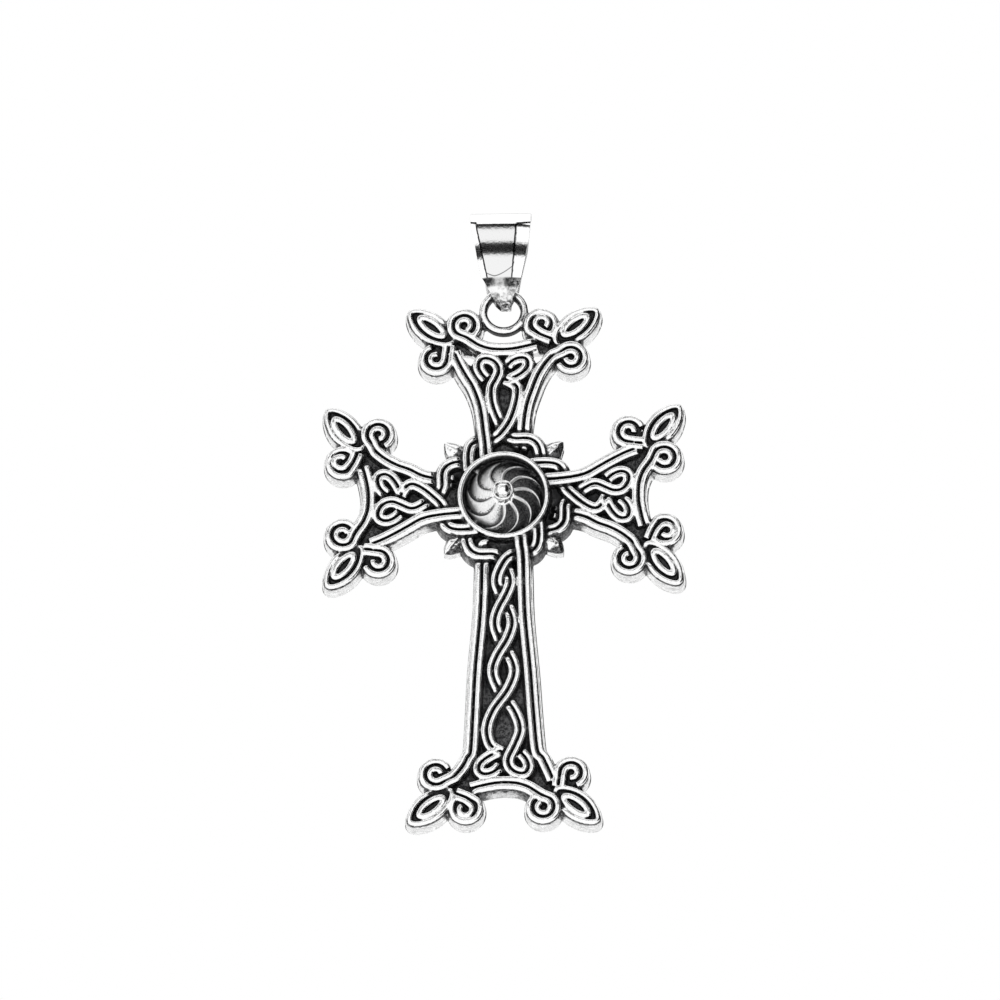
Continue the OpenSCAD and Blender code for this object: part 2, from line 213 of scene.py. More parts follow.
# Tables of the end of an arm. Columns: across, distance beyond the end of the arm.
BAR = [
    (3.30, 0.45),
    (1.90, 0.10),
    (0.40, -0.14),
    (-1.20, -0.08),
    (-2.40, 0.30),
    (-3.10, 0.75),
    (-3.75, 1.20),
]
END_START = [(4.8, 0.95), (4.3, 1.15), (3.7, 1.4)]
SIDE_START = [(-5.45, 0.35), (-5.55, -0.45)]
GROUND_END = [
    (-5.5, -0.3),
    (-5.3, 0.4),
    (-3.4, 1.1),
    (-1.9, 0.2),
    (1.2, 0),
    (3.4, 1.2),
    (4.9, 0.7),
    (5.6, -0.2),
]
# The two small holes of the top arm.
HOLES = [
    [(-4.6, -0.15), (-3.4, -0.3), (-2.55, -0.65), (-3.1, -1.7), (-4.0, -1.2)],
    [(2.95, -0.2), (4.2, -0.2), (3.65, -1.55), (3.0, -1.25)],
]

# Scrolls. Columns: angles at which the band meets its circle and at which it ends, and how
# much sooner its inner ridge ends, all in degrees; how much wider the circle is at its start;
# how far the middle of the inner curl is moved.
SCROLLS = {
    "bar": (228, -42, 30, 0.05, (0.0, 0.0)),
    "side_b": (140, -145, 30, 0.0, (0.0, 0.0)),
    "end_scroll": (208, -36, 20, 0.02, (0.08, 0.2)),
    "side_scroll": (8, -240, 45, 0.0, (0.0, 0.0)),
}
# Braid of the foot. Columns: distance out of a widest place, half width there.
BRAID = [(8.8, 0.7), (13.45, 0.88), (18.6, 1.1), (24.6, 1.68)]
# Crossings of the strands, the first one on every arm. Columns: distance out, how far from
# there the upper strand covers the lower one.
CROSSINGS = [(7.0, 1.3), (10.9, 1.4), (15.9, 1.5), (21.4, 1.6)]

# The dome of the wheel, before it is sunk by DOME_SUNK. Columns: distance from its middle,
# share of the hub's rise.
DOME = [
    (0, 1),
    (1.0, 0.96),
    (1.6, 0.76),
    (2.3, 0.48),
    (3.0, 0.23),
    (3.6, 0.04),
    (3.95, -0.16),
    (4.2, -0.5),
]
DOME_SUNK = 1.2
# A vane. Columns: distance from the middle of the wheel, share of its height.
VANE = [(0.95, 0.2), (1.25, 0.6), (2.4, 1), (3.5, 1), (3.95, 0.7), (4.15, 0)]

# Foot of a bud. Columns: outwards from its middle, aside.
BUD_BASE = [
    (-1.4, 0.95),
    (-0.1, 0.98),
    (0.7, 0.55),
    (1.2, 0),
    (0.7, -0.55),
    (-0.1, -0.98),
    (-1.4, -0.95),
]
BUD_BASE_OUT = 7.25

# Solder beside the ring. Columns: aside, height above the middle of the ring.
WEB = [(1.85, -0.3), (2.6, -0.9), (2.75, -2.3), (1.75, -1.75)]


class PendantCasting(bpy.types.PropertyGroup):
    """Sizes of the bands of the casting, in millimetres"""

    frame_width: bpy.props.FloatProperty(
        name="Frame Band", description="Width of a frame band", default=1.34
    )
    strand_width: bpy.props.FloatProperty(
        name="Strand", description="Width of a strand of the knotwork", default=1.2
    )
    groove_width: bpy.props.FloatProperty(
        name="Groove", description="Width of the groove between two ridges", default=0.2
    )
    groove_depth: bpy.props.FloatProperty(
        name="Groove Depth", description="Depth of that groove", default=0.48
    )
    draft: bpy.props.FloatProperty(
        name="Draft", description="Spread of the outer walls down to the back", default=0.26
    )
    dip: bpy.props.FloatProperty(
        name="Dip", description="How far a band sinks where another one crosses it", default=0.5
    )
    fineness: bpy.props.FloatProperty(
        name="Fineness", description="Size of the grid the casting is fused on", default=0.08
    )
    triangles: bpy.props.IntProperty(
        name="Triangles", description="Most triangles of the finished casting", default=190000
    )


class PendantWheel(bpy.types.PropertyGroup):
    """Sizes of the wheel in the middle, in millimetres"""

    radius: bpy.props.FloatProperty(
        name="Radius", description="Outer radius of the rim", default=4.63
    )
    rim_width: bpy.props.FloatProperty(
        name="Rim Width", description="Width of the rim", default=0.5
    )
    rim_rise: bpy.props.FloatProperty(
        name="Rim Rise", description="Height of the rim above the bands", default=0.45
    )
    hub_rise: bpy.props.FloatProperty(
        name="Hub Rise", description="Height of the hub above the rim", default=1.25
    )
    vanes: bpy.props.IntProperty(name="Vanes", description="Number of curved vanes", default=10)
    vane_turn: bpy.props.FloatProperty(
        name="Vane Turn",
        description="How far a vane's crest turns back between hub and rim",
        default=math.radians(42),
        subtype="ANGLE",
    )
    vane_start: bpy.props.FloatProperty(
        name="Vane Start",
        description="Angle at which the first vane leaves the hub",
        default=math.radians(130),
        subtype="ANGLE",
    )
    vane_height: bpy.props.FloatProperty(
        name="Vane Height", description="Height of a vane's crest above its foot", default=0.42
    )
    ball_radius: bpy.props.FloatProperty(
        name="Ball", description="Radius of the ball on the hub", default=0.74
    )


class PendantFinish(bpy.types.PropertyGroup):
    """Colours of the metal"""

    silver: bpy.props.FloatVectorProperty(
        name="Silver",
        description="Colour of the polished silver",
        subtype="COLOR",
        size=3,
        default=(0.95, 0.95, 0.95),
    )
    oxide: bpy.props.FloatVectorProperty(
        name="Oxide",
        description="Colour of the darkest oxide in the grooves",
        subtype="COLOR",
        size=3,
        default=(0.026, 0.026, 0.027),
    )
    ground: bpy.props.FloatVectorProperty(
        name="Ground",
        description="Colour of the oxide on the open ground",
        subtype="COLOR",
        size=3,
        default=(0.24, 0.24, 0.243),
    )


def settings():
    """The scene's own settings of the pendant."""
    scene = bpy.context.scene
    return scene.pendant_casting, scene.pendant_wheel, scene.pendant_finish


def deselect():
    """Selects nothing, so that the next operator acts on the new piece alone."""
    bpy.ops.object.select_all(action="DESELECT")


def pick(*pieces):
    """Selects only these pieces and makes the first one active."""
    deselect()
    for piece in pieces:
        piece.select_set(True)
    bpy.context.view_layer.objects.active = pieces[0]


def join_as(name, parts):
    """Makes all parts meshes and joins them into one piece."""
    pick(*parts)
    bpy.ops.object.convert(target="MESH")
    bpy.ops.object.join()
    bpy.context.object.name = name


def mesh_arrays(piece):
    """Places and normals of the vertices of a piece."""
    mesh = piece.data
    co = np.zeros(len(mesh.vertices) * 3)
    normal = np.zeros(len(mesh.vertices) * 3)
    mesh.vertices.foreach_get("co", co)
    mesh.vertices.foreach_get("normal", normal)
    return co.reshape(-1, 3), normal.reshape(-1, 3)


def soft_step(value, low, high):
    """0 up to low and 1 from high on, with a soft rise between them."""
    t = np.clip((value - low) / (high - low), 0, 1)
    return t * t * (3 - 2 * t)


def soft_drop(value, low, high):
    """1 up to low and 0 from high on."""
    return soft_step(-value, -high, -low)


def close_to(value, middle, near, far):
    """1 where the value lies within near of the middle, and 0 beyond far."""
    return soft_drop(np.abs(value - middle), near, far)


# Lines


def smooth_line(points, steps=4):
    """A smooth line through points, with some steps for each pair."""
    p = np.array(points, float)
    last = len(p) - 1
    out = []
    for i in range(last):
        a, b, c, d = p[max(i - 1, 0)], p[i], p[i + 1], p[min(i + 2, last)]
        for t in np.arange(steps) / steps:
            cubic = (2 * a - 5 * b + 4 * c - d) * t**2 + (3 * b - a - 3 * c + d) * t**3
            out.append(0.5 * (2 * b + (c - a) * t + cubic))
    return np.array(out + [p[-1]])


def arc_line(centre, r0, r1, a0, a1):
    """An arc about a centre, whose radius goes from r0 to r1, angles in degrees."""
    count = math.ceil(abs(a1 - a0) / 8) + 1
    angle = np.radians(np.linspace(a0, a1, count))
    r = np.linspace(r0, r1, count)
    return np.array(centre) + np.stack([r * np.cos(angle), r * np.sin(angle)], 1)


def circle(centre, r):
    """A circle that isn't closed by its last point."""
    return arc_line(centre, r, r, 0, 352)


def evened(line, step=0.14, passes=3, closed=False):
    """The same line with points at even steps, its corners eased."""
    p = np.vstack([line, line[:1]]) if closed else np.array(line)
    run = np.concatenate([[0], np.cumsum(np.linalg.norm(np.diff(p, axis=0), axis=1))])
    at = np.linspace(0, run[-1], max(int(run[-1] / step), 4) + 1)
    p = np.stack([np.interp(at, run, p[:, k]) for k in (0, 1)], 1)
    if closed:
        p = p[:-1]
    for _ in range(passes):
        q = (np.roll(p, 1, 0) + 2 * p + np.roll(p, -1, 0)) / 4
        if closed:
            p = q
        else:
            p[1:-1] = q[1:-1]
    return p


def placed(rows, end):
    """Rows of an arm's table as points, for an end bar at that distance."""
    return [(x, y + share * (end - SIDE_ARM)) for x, y, share in rows]


def beyond(rows, end):
    """Rows that are measured from the end of an arm as points."""
    return [(x, end + y) for x, y in rows]


def braid(sign):
    """One strand of the foot's braid: half waves between its widest places."""
    points = []
    for i in range(len(BRAID) - 1):
        side = sign * (-1) ** i
        (out_a, half_a), (out_b, half_b) = BRAID[i], BRAID[i + 1]
        for t in (0, 1 / 3, 2 / 3):
            swing = (1 - math.cos(math.pi * t)) / 2
            across = side * (half_a * (1 - swing) - half_b * swing)
            points.append((across, out_a * (1 - t) + out_b * t))
    return points + [(-sign * BRAID[-1][1], BRAID[-1][0])]


def shaft_line(points):
    """A side of the shaft, which stands a little further out in its lower part."""
    line = smooth_line(points)
    across, out = line[:, 0], line[:, 1]
    spread = np.sign(across) * SHAFT_SPREAD * soft_step(out, *SHAFT_SPREAD_FROM)
    line[:, 0] += spread * soft_drop(out, *SHAFT_SPREAD_TO)
    return line[::2]


def leaf_line(end, sign, inset=0.0, aside=0.12):
    """A leaf as two arcs between its tip and its root, moved inwards by inset.

    Its middle lies aside from the line between tip and root, towards the side scroll.
    """
    tip = np.array((sign * LEAF_TIP[0], end + LEAF_TIP[1]))
    root = np.array((sign * LEAF_ROOT[0], end + LEAF_ROOT[1]))
    along = root - tip
    length = np.linalg.norm(along)
    full_r = (length**2 + LEAF_W**2) / 4 / LEAF_W
    across = np.array((-along[1], along[0])) / length
    middle = (tip + root) / 2 + across * sign * aside
    away = full_r - LEAF_W / 2
    r = full_r - inset
    half = math.degrees(math.acos(away / r))
    turn = math.degrees(math.atan2(across[1], across[0]))
    back = turn + 180
    one = arc_line(middle - across * away, r, r, turn - half, turn + half)
    two = arc_line(middle + across * away, r, r, back - half, back + half)
    return evened(np.vstack([one[:-1], two[:-1]]), passes=26, closed=True)


def beside(line, gap):
    """A line moved sideways, to its left where the gap is positive."""
    along = np.gradient(line, axis=0)
    along /= np.linalg.norm(along, axis=1)[:, None]
    return line + gap * np.stack([-along[:, 1], along[:, 0]], 1)


def scroll(start, centre, a0, a1, curl, grow, aside):
    """Middle line, outer ridge and inner ridge of a band that ends in a scroll.

    The last five values are a row of SCROLLS. The outer ridge ends a little further out and
    further round than the middle line.
    """
    casting, _, _ = settings()
    gap = (casting.frame_width + casting.groove_width) / 4
    start = np.array(start, float)
    r0, r1 = SCROLL_R + grow, SCROLL_END_R
    inner_centre = np.add(centre, aside)
    middle = arc_line(centre, r0, r1, a0, a1)
    outer = arc_line(centre, r0 + gap, r1 + gap + 0.04, a0, a1 - 8)
    inner = arc_line(inner_centre, r0 - gap, CURL_R, a0, a1 - curl)
    starts = (start, beside(start, gap), beside(start, -gap))
    return [evened(np.vstack(pair)) for pair in zip(starts, (middle, outer, inner))]


def arm_lines(end, is_foot):
    """Lines of all bands of an arm, as it would point up: middle, left and right ridge."""
    casting, _, _ = settings()
    side_a, side_b = placed(SIDE_A, end), placed(SIDE_B, end)
    if is_foot:
        lower_end = SHAFT_SPREAD_TO[0]
        side_a = shaft_line(side_a)
        side_b = shaft_line([(x + SHAFT_RIGHT_SPREAD * (y < lower_end), y) for x, y in side_b])
        over_mid, under_mid, over_end, under_end = braid(1), braid(-1), HOOK, TAIL
    else:
        over_mid, under_mid = placed(OVER_MID, end), placed(UNDER_MID, end)
        over_end, under_end = TAIL, HOOK
    scroll_up, side_up = end + END_SCROLL[1], end + SIDE_SCROLL[1]
    starts = {
        "bar": (smooth_line(beyond(BAR, end)), (-END_SCROLL[0], scroll_up)),
        "side_b": (smooth_line(side_b), (SIDE_SCROLL[0], side_up)),
        "end_scroll": (smooth_line(beyond(END_START, end)), (END_SCROLL[0] - 0.1, scroll_up)),
        "side_scroll": (beyond(SIDE_START, end), (-SIDE_SCROLL[0], side_up)),
    }
    lines = {name: scroll(*start, *SCROLLS[name]) for name, start in starts.items()}
    plain = {
        "side_a": side_a,
        "over": placed(OVER, end) + over_mid + placed(over_end, end),
        "under": placed(UNDER, end) + under_mid + placed(under_end, end),
        "loop": placed(LEAF_LOOP, end),
    }
    for name, points in plain.items():
        line = evened(smooth_line(points))
        width = casting.frame_width if name == "side_a" else casting.strand_width
        gap = (width + casting.groove_width) / 4
        lines[name] = [line, beside(line, gap), beside(line, -gap)]
    return lines


def turned(points, degrees):
    """Points turned about the middle of the cross."""
    a = math.radians(degrees)
    x, y = points[:, 0], points[:, 1]
    return np.stack([x * math.cos(a) - y * math.sin(a), x * math.sin(a) + y * math.cos(a)], 1)


def near_crossing(line, out, reach):
    """The stretch of a strand of the knotwork about a crossing."""
    return line[(abs(line[:, 1] - out) < reach) & (abs(line[:, 0]) < 1.6)]


def lines_above(lines, is_foot):
    """For each band of an arm, the stretches of other bands that pass over it.

    The leaves have the sign of their side as their name: -1 on the left, 1 on the right.
    """
    lines = {name: three[0] for name, three in lines.items()}
    over, under = lines["over"], lines["under"]
    first = near_crossing(over, *CROSSINGS[0])
    # The wreath of the next arm passes over the root of the strand under. That root passes over
    # the right side band, and the left side band over the root of the strand over.
    side_over = arm_lines(SIDE_ARM, False)["over"][0]
    wreath = turned(side_over[(side_over[:, 0] < -2.4) & (side_over[:, 1] < 6.2)], -90)
    root_under = under[(under[:, 0] > 0.7) & (under[:, 1] < 6.6)]
    root_side = lines["side_a"][lines["side_a"][:, 1] < 7.4]
    above = {
        "bar": [lines["end_scroll"]],
        "side_a": [lines["bar"]],
        "side_b": [root_under],
        "end_scroll": [lines["side_b"]],
        "side_scroll": [lines["bar"]],
        "over": [root_side],
        "under": [first, wreath],
        "loop": [over if is_foot else under, lines["side_b"]],
        -1: [lines["bar"]],
        1: [lines["side_b"]],
    }
    if is_foot:
        above["over"] += [near_crossing(under, *CROSSINGS[k]) for k in (1, 3)]
        above["under"] += [near_crossing(over, *CROSSINGS[2])]
    return above


def dips(line, above, depth):
    """Heights along a line that sinks where the lines above it cross."""
    low = np.zeros(len(line))
    for other in above:
        if len(other):
            gap = np.linalg.norm(line[:, None] - other[None], axis=2).min(1)
            t = np.clip((DIP_REACH - gap) / DIP_RUN, 0, 1)
            low = np.maximum(low, depth * t * t * (3 - 2 * t))
    return -low


# Solids swept along lines and filled from outlines


def new_line(name, points, heights=0.0, closed=False):
    """A poly line as a curve object."""
    deselect()
    bpy.ops.curve.primitive_nurbs_path_add(location=(0, 0, 0))
    path = bpy.context.object
    path.name = name
    path.data.splines.clear()
    line = path.data.splines.new("POLY")
    line.points.add(len(points) - 1)
    co = np.ones((len(points), 4))
    co[:, :2] = points
    co[:, 2] = heights
    line.points.foreach_set("co", co.ravel())
    line.use_cyclic_u = closed
    path.data.dimensions = "3D"
    return path


def profile(name, points):
    """A closed outline that is swept along the bands: across, height."""
    return new_line(name, np.array(points, float), closed=True)


def sweep(name, points, heights, shape, closed=False):
    """A band along a line, with the shape of a profile."""
    path = new_line(name, points, heights, closed)
    path.data.twist_mode = "Z_UP"
    path.data.bevel_mode = "OBJECT"
    path.data.bevel_object = shape
    path.data.use_fill_caps = not closed
    return path


def slab(name, points, low, high):
    """A flat plate with this outline between two heights."""
    path = new_line(name, np.array(points, float), closed=True)
    path.data.dimensions = "2D"
    path.data.fill_mode = "BOTH"
    path.data.extrude = (high - low) / 2
    path.location.z = (high + low) / 2
    return path


def ridge(half):
    """Outline of a rounded ridge."""
    right = [
        (half, -1.15),
        (half, -0.22),
        (half - 0.02, -0.105),
        (half - 0.07, -0.03),
        (half - 0.145, 0),
    ]
    return right + [(-x, z) for x, z in right[::-1]]


def foot_of_band(half, draft, depth):
    """Outline of the body under a band, wider at the back of the casting."""
    right = [
        (half + draft, -THICKNESS),
        (half + draft * 0.75, -THICKNESS * 0.45),
        (half + LEDGE + 0.05, -LEDGE_DEPTH - 0.12),
        (half + LEDGE, -LEDGE_DEPTH),
        (half - 0.02, -LEDGE_DEPTH - 0.04),
        (half - 0.1, -depth),
    ]
    return right + [(-x, z) for x, z in right[::-1]]


# Parts of the casting


class PENDANT_OT_bands(bpy.types.Operator):
    """Sweep the frame bands, the knotwork, the scrolls and the leaves"""

    bl_idname = "pendant.bands"
    bl_label = "Bands"

    def execute(self, context):
        casting, _, _ = settings()
        floor = casting.groove_depth + 0.03
        widths = {"frame": casting.frame_width / 2, "strand": casting.strand_width / 2}
        ridges, bodies = {}, {}
        for kind, half in widths.items():
            ridges[kind] = profile(kind + "_ridge", ridge((half - casting.groove_width / 2) / 2))
            bodies[kind] = profile(kind + "_body", foot_of_band(half, casting.draft, floor))
        outer_leaf = profile("leaf_outer", ridge(LEAF_RIDGE))
        inner_leaf = profile("leaf_inner", ridge(LEAF_LOOP_RIDGE))
        leaf_body = profile("leaf_body", foot_of_band(LEAF_RIDGE, casting.draft, floor))
        shapes = [*ridges.values(), *bodies.values(), outer_leaf, inner_leaf, leaf_body]
        parts = []
        for turn, end in ARMS:
            is_foot = end == FOOT_ARM
            lines = arm_lines(end, is_foot)
            above = lines_above(lines, is_foot)
            for name, (middle, left, right) in lines.items():
                kind = "strand" if name in ("over", "under", "loop") else "frame"
                for line in (left, right):
                    low = dips(line, above[name], casting.dip)
                    parts.append(sweep(name, turned(line, turn), low, ridges[kind]))
                parts.append(sweep(name + "_body", turned(middle, turn), 0.0, bodies[kind]))
            for sign in (-1, 1):
                line = leaf_line(end, sign, LEAF_RIDGE)
                low = dips(line, above[sign], casting.dip)
                path = turned(line, turn)
                parts.append(sweep("leaf", path, low, outer_leaf, closed=True))
                parts.append(sweep("leaf_body", path, 0.0, leaf_body, closed=True))
                inner = leaf_line(end, sign, LEAF_LOOP_INSET, aside=0.02)
                low = dips(inner, above[sign], casting.dip)
                parts.append(sweep("leaf_inner", turned(inner, turn), low, inner_leaf, closed=True))
                fill = turned(leaf_line(end, sign, LEAF_FILL_INSET), turn)
                parts.append(slab("leaf_fill", fill, -THICKNESS, -floor))
        join_as("bands", parts)
        for shape in shapes:
            bpy.data.objects.remove(shape)
        return {"FINISHED"}


class PENDANT_OT_ground(bpy.types.Operator):
    """Fill the sunk ground behind the knotwork and inside the scrolls"""

    bl_idname = "pendant.ground"
    bl_label = "Ground"

    def execute(self, context):
        parts = []
        for turn, end in ARMS:
            lines = arm_lines(end, end == FOOT_ARM)
            side_a, side_b = lines["side_a"][0][::-1], placed(SIDE_B, end)[::-1]
            outline = np.vstack([side_a, beyond(GROUND_END, end), side_b])
            parts.append(slab("arm_ground", turned(outline, turn), -THICKNESS, GROUND))
            for sign in (-1, 1):
                for across, out in (END_SCROLL, SIDE_SCROLL):
                    disc = circle((sign * across, end + out), SCROLL_R + 0.1)
                    path = turned(disc, turn)
                    parts.append(slab("scroll_ground", path, -THICKNESS, SCROLL_GROUND))
        hub = circle((0, 0), HUB_GROUND_R)
        parts.append(slab("hub_ground", hub, -THICKNESS, GROUND))
        join_as("ground", parts)
        return {"FINISHED"}


def dome_height(r, rim_rise, hub_rise):
    """Height of the wheel's dome above the face, from the hub out to the rim, before it sinks."""
    return rim_rise + hub_rise * np.interp(r, *np.array(DOME).T)


def vane_phase(r, angle, wheel):
    """Place between two crests of the wheel, 0 at a crest and rising to 1 before the next."""
    back = wheel.vane_turn * (np.clip(r - VANE_START_R, 0, 3) / VANE_LENGTH) ** VANE_BEND
    return ((angle + back - wheel.vane_start) / (2 * math.pi) * wheel.vanes) % 1.0


class PENDANT_OT_wheel(bpy.types.Operator):
    """Shape the wheel: its rim, the dome with curved vanes, the hub and the ball"""

    bl_idname = "pendant.wheel"
    bl_label = "Wheel"

    def execute(self, context):
        _, wheel, _ = settings()
        rim_mid = wheel.radius - wheel.rim_width / 2
        half = wheel.rim_width / 2
        rise = wheel.rim_rise
        rim_shape = profile(
            "rim_shape",
            [
                (half + 0.16, -1.2),
                (half + 0.13, -0.22),
                (half + 0.03, -0.12),
                (half, rise - 0.18),
                (half - 0.08, rise - 0.05),
                (half - 0.18, rise),
                (0.18 - half, rise),
                (0.08 - half, rise - 0.05),
                (-half, rise - 0.18),
                (-half, -1.2),
            ],
        )
        rim = sweep("rim", arc_line((0, 0), rim_mid, rim_mid, 0, 357), 0.0, rim_shape, closed=True)
        pick(rim)
        bpy.ops.object.convert(target="MESH")
        bpy.data.objects.remove(rim_shape)
        dome = self.dome(wheel, wheel.radius - wheel.rim_width)
        hub_top = wheel.rim_rise + wheel.hub_rise
        deselect()
        bpy.ops.mesh.primitive_torus_add(
            major_radius=HUB_RING_R,
            minor_radius=HUB_WIRE_R,
            major_segments=48,
            minor_segments=12,
            location=(0, 0, hub_top - 0.06),
        )
        hub = context.object
        deselect()
        bpy.ops.mesh.primitive_uv_sphere_add(
            radius=wheel.ball_radius, segments=32, ring_count=16, location=(0, 0, hub_top - 0.02)
        )
        ball = context.object
        pick(rim, dome, hub, ball)
        bpy.ops.object.join()
        context.object.name = "wheel"
        return {"FINISHED"}

    def dome(self, wheel, radius):
        """A disc inset ring by ring, raised into a dome and carved into vanes.

        The heights are given to its mesh, and its object stands DOME_SUNK below the face. So the
        dome lies that much lower than dome_height says, and free of the hub.
        """
        rings, around = 60, 360
        # It reaches a little way into the rim.
        reach = radius + 0.1
        deselect()
        bpy.ops.mesh.primitive_circle_add(
            vertices=around, radius=reach, fill_type="NGON", location=(0, 0, -DOME_SUNK)
        )
        dome = bpy.context.object
        dome.name = "dome"
        bpy.ops.object.mode_set(mode="EDIT")
        bpy.ops.mesh.select_all(action="SELECT")
        bpy.ops.mesh.extrude_region_move(TRANSFORM_OT_translate={"value": (0, 0, DOME_SUNK)})
        for _ in range(rings - 1):
            bpy.ops.mesh.inset(thickness=reach / rings, depth=0)
        bpy.ops.mesh.poke()
        bpy.ops.object.mode_set(mode="OBJECT")
        co, _ = mesh_arrays(dome)
        r = np.hypot(co[:, 0], co[:, 1])
        phase = vane_phase(r, np.arctan2(co[:, 1], co[:, 0]), wheel)
        steep = (phase - VANE_FOOT) / (1 - VANE_FOOT)
        slope = np.where(phase > VANE_FOOT, steep, 1 - phase / VANE_FOOT)
        tall = wheel.vane_height * np.interp(r, *np.array(VANE).T)
        co[:, 2] = dome_height(r, wheel.rim_rise, wheel.hub_rise) + tall * (slope - 0.5)
        dome.data.vertices.foreach_set("co", co.ravel())
        dome.data.update()
        pick(dome)
        bpy.ops.object.transform_apply(location=True, rotation=True, scale=True)
        return dome


class PENDANT_OT_buds(bpy.types.Operator):
    """Raise the four small pointed buds between the arms"""

    bl_idname = "pendant.buds"
    bl_label = "Buds"

    def execute(self, context):
        parts = []
        for turn in (45, 135, 225, 315):
            base = np.array(BUD_BASE) + (BUD_BASE_OUT, 0)
            parts.append(slab("bud_base", turned(base, turn), -THICKNESS + 0.25, BUD_LEVEL))
            deselect()
            bpy.ops.mesh.primitive_uv_sphere_add(segments=24, ring_count=14, radius=1)
            petal = context.object
            co, _ = mesh_arrays(petal)
            self.shape(co)
            co[:, :2] = turned(co[:, :2], turn)
            petal.data.vertices.foreach_set("co", co.ravel())
            parts.append(petal)
        join_as("buds", parts)
        return {"FINISHED"}

    def shape(self, co):
        """Turns a ball into a bud that points along x, with a crease at its root."""
        point = np.clip((co[:, 0] + 0.2) / 1.2, 0, 1)
        co[:, 2] *= BUD_HEIGHT * (1 - 0.35 * point) * (1 - 0.35 * np.abs(co[:, 1]))
        co[:, 1] *= BUD_WIDTH * (1 - 0.5 * point**1.5)
        at_root = (co[:, 2] > 0) * (co[:, 0] < 0.3)
        co[:, 2] -= 0.14 * np.exp(-(((co[:, 1] - 0.1) / 0.1) ** 2)) * at_root
        co[:, 0] = BUD_OUT + co[:, 0] * BUD_LENGTH
        co[:, 2] += BUD_LEVEL


class PENDANT_OT_loop_ring(bpy.types.Operator):
    """Add the ring at the top with the solder beside it"""

    bl_idname = "pendant.loop_ring"
    bl_label = "Loop Ring"

    def execute(self, context):
        middle = -THICKNESS / 2
        half_w = (RING_R - RING_HOLE_R) / 2
        half_d = RING_DEPTH / 2
        edge = 0.2
        wire = profile(
            "wire_shape",
            [
                (half_w, -half_d + edge),
                (half_w, half_d - edge),
                (half_w - edge * 0.4, half_d - edge * 0.3),
                (half_w - edge, half_d),
                (edge - half_w, half_d),
                (edge * 0.4 - half_w, half_d - edge * 0.3),
                (-half_w, half_d - edge),
                (-half_w, -half_d + edge),
                (edge - half_w, -half_d),
                (half_w - edge, -half_d),
            ],
        )
        mid_r = (RING_R + RING_HOLE_R) / 2
        path = arc_line((0, RING_UP), mid_r, mid_r, 0, 355)
        parts = [sweep("ring", path, middle, wire, closed=True)]
        for side in (-1, 1):
            web = [(side * x, RING_UP + y) for x, y in WEB]
            parts.append(slab("web", web, middle - half_d + 0.1, middle + half_d - 0.35))
        join_as("loop_ring", parts)
        bpy.data.objects.remove(wire)
        return {"FINISHED"}


# Skin of the casting, its wear and its painted shade


def use_modifier(piece, kind, **values):
    """Adds a modifier with these values and applies it."""
    pick(piece)
    modifier = piece.modifiers.new(kind.title(), kind)
    for name, value in values.items():
        setattr(modifier, name, value)
    bpy.ops.object.modifier_apply(modifier=modifier.name)


def stand_up(piece):
    """Stands a flat piece upright in the frame, in metres, with its place in its mesh."""
    piece.location = CENTRE * MM
    piece.rotation_euler = (math.radians(90), 0, 0)
    piece.scale = (MM, MM, MM)
    pick(piece)
    bpy.ops.object.transform_apply(location=True, rotation=True, scale=True)


def openness(piece, reach, rays):
    """How open each place is: 1 where a cloth rubs it bright, 0 deep in a corner."""
    co, normal = mesh_arrays(piece)
    tree = BVHTree.FromObject(piece, bpy.context.evaluated_depsgraph_get())
    # The rays make an even fan about the normal, turned by the golden angle each.
    angle = math.pi * (3 - math.sqrt(5)) * np.arange(rays)
    height = (np.arange(rays) + 0.5) / rays
    out = np.sqrt(1 - height**2)
    fan = np.stack([out * np.cos(angle), out * np.sin(angle), height], 1)
    open_share = np.zeros(len(co))
    for i in range(len(co)):
        n = normal[i]
        side = np.cross(n, (0.0, 0.0, 1.0) if abs(n[2]) < 0.9 else (1.0, 0.0, 0.0))
        side /= np.linalg.norm(side)
        directions = fan @ np.stack([side, np.cross(n, side), n])
        start = Vector(co[i] + n * reach * 0.01)
        total = 0.0
        for d in directions:
            hit = tree.ray_cast(start, Vector(d), reach)
            total += 1.0 if hit[0] is None else (hit[3] / reach) * 0.5
        open_share[i] = total / rays
    return open_share


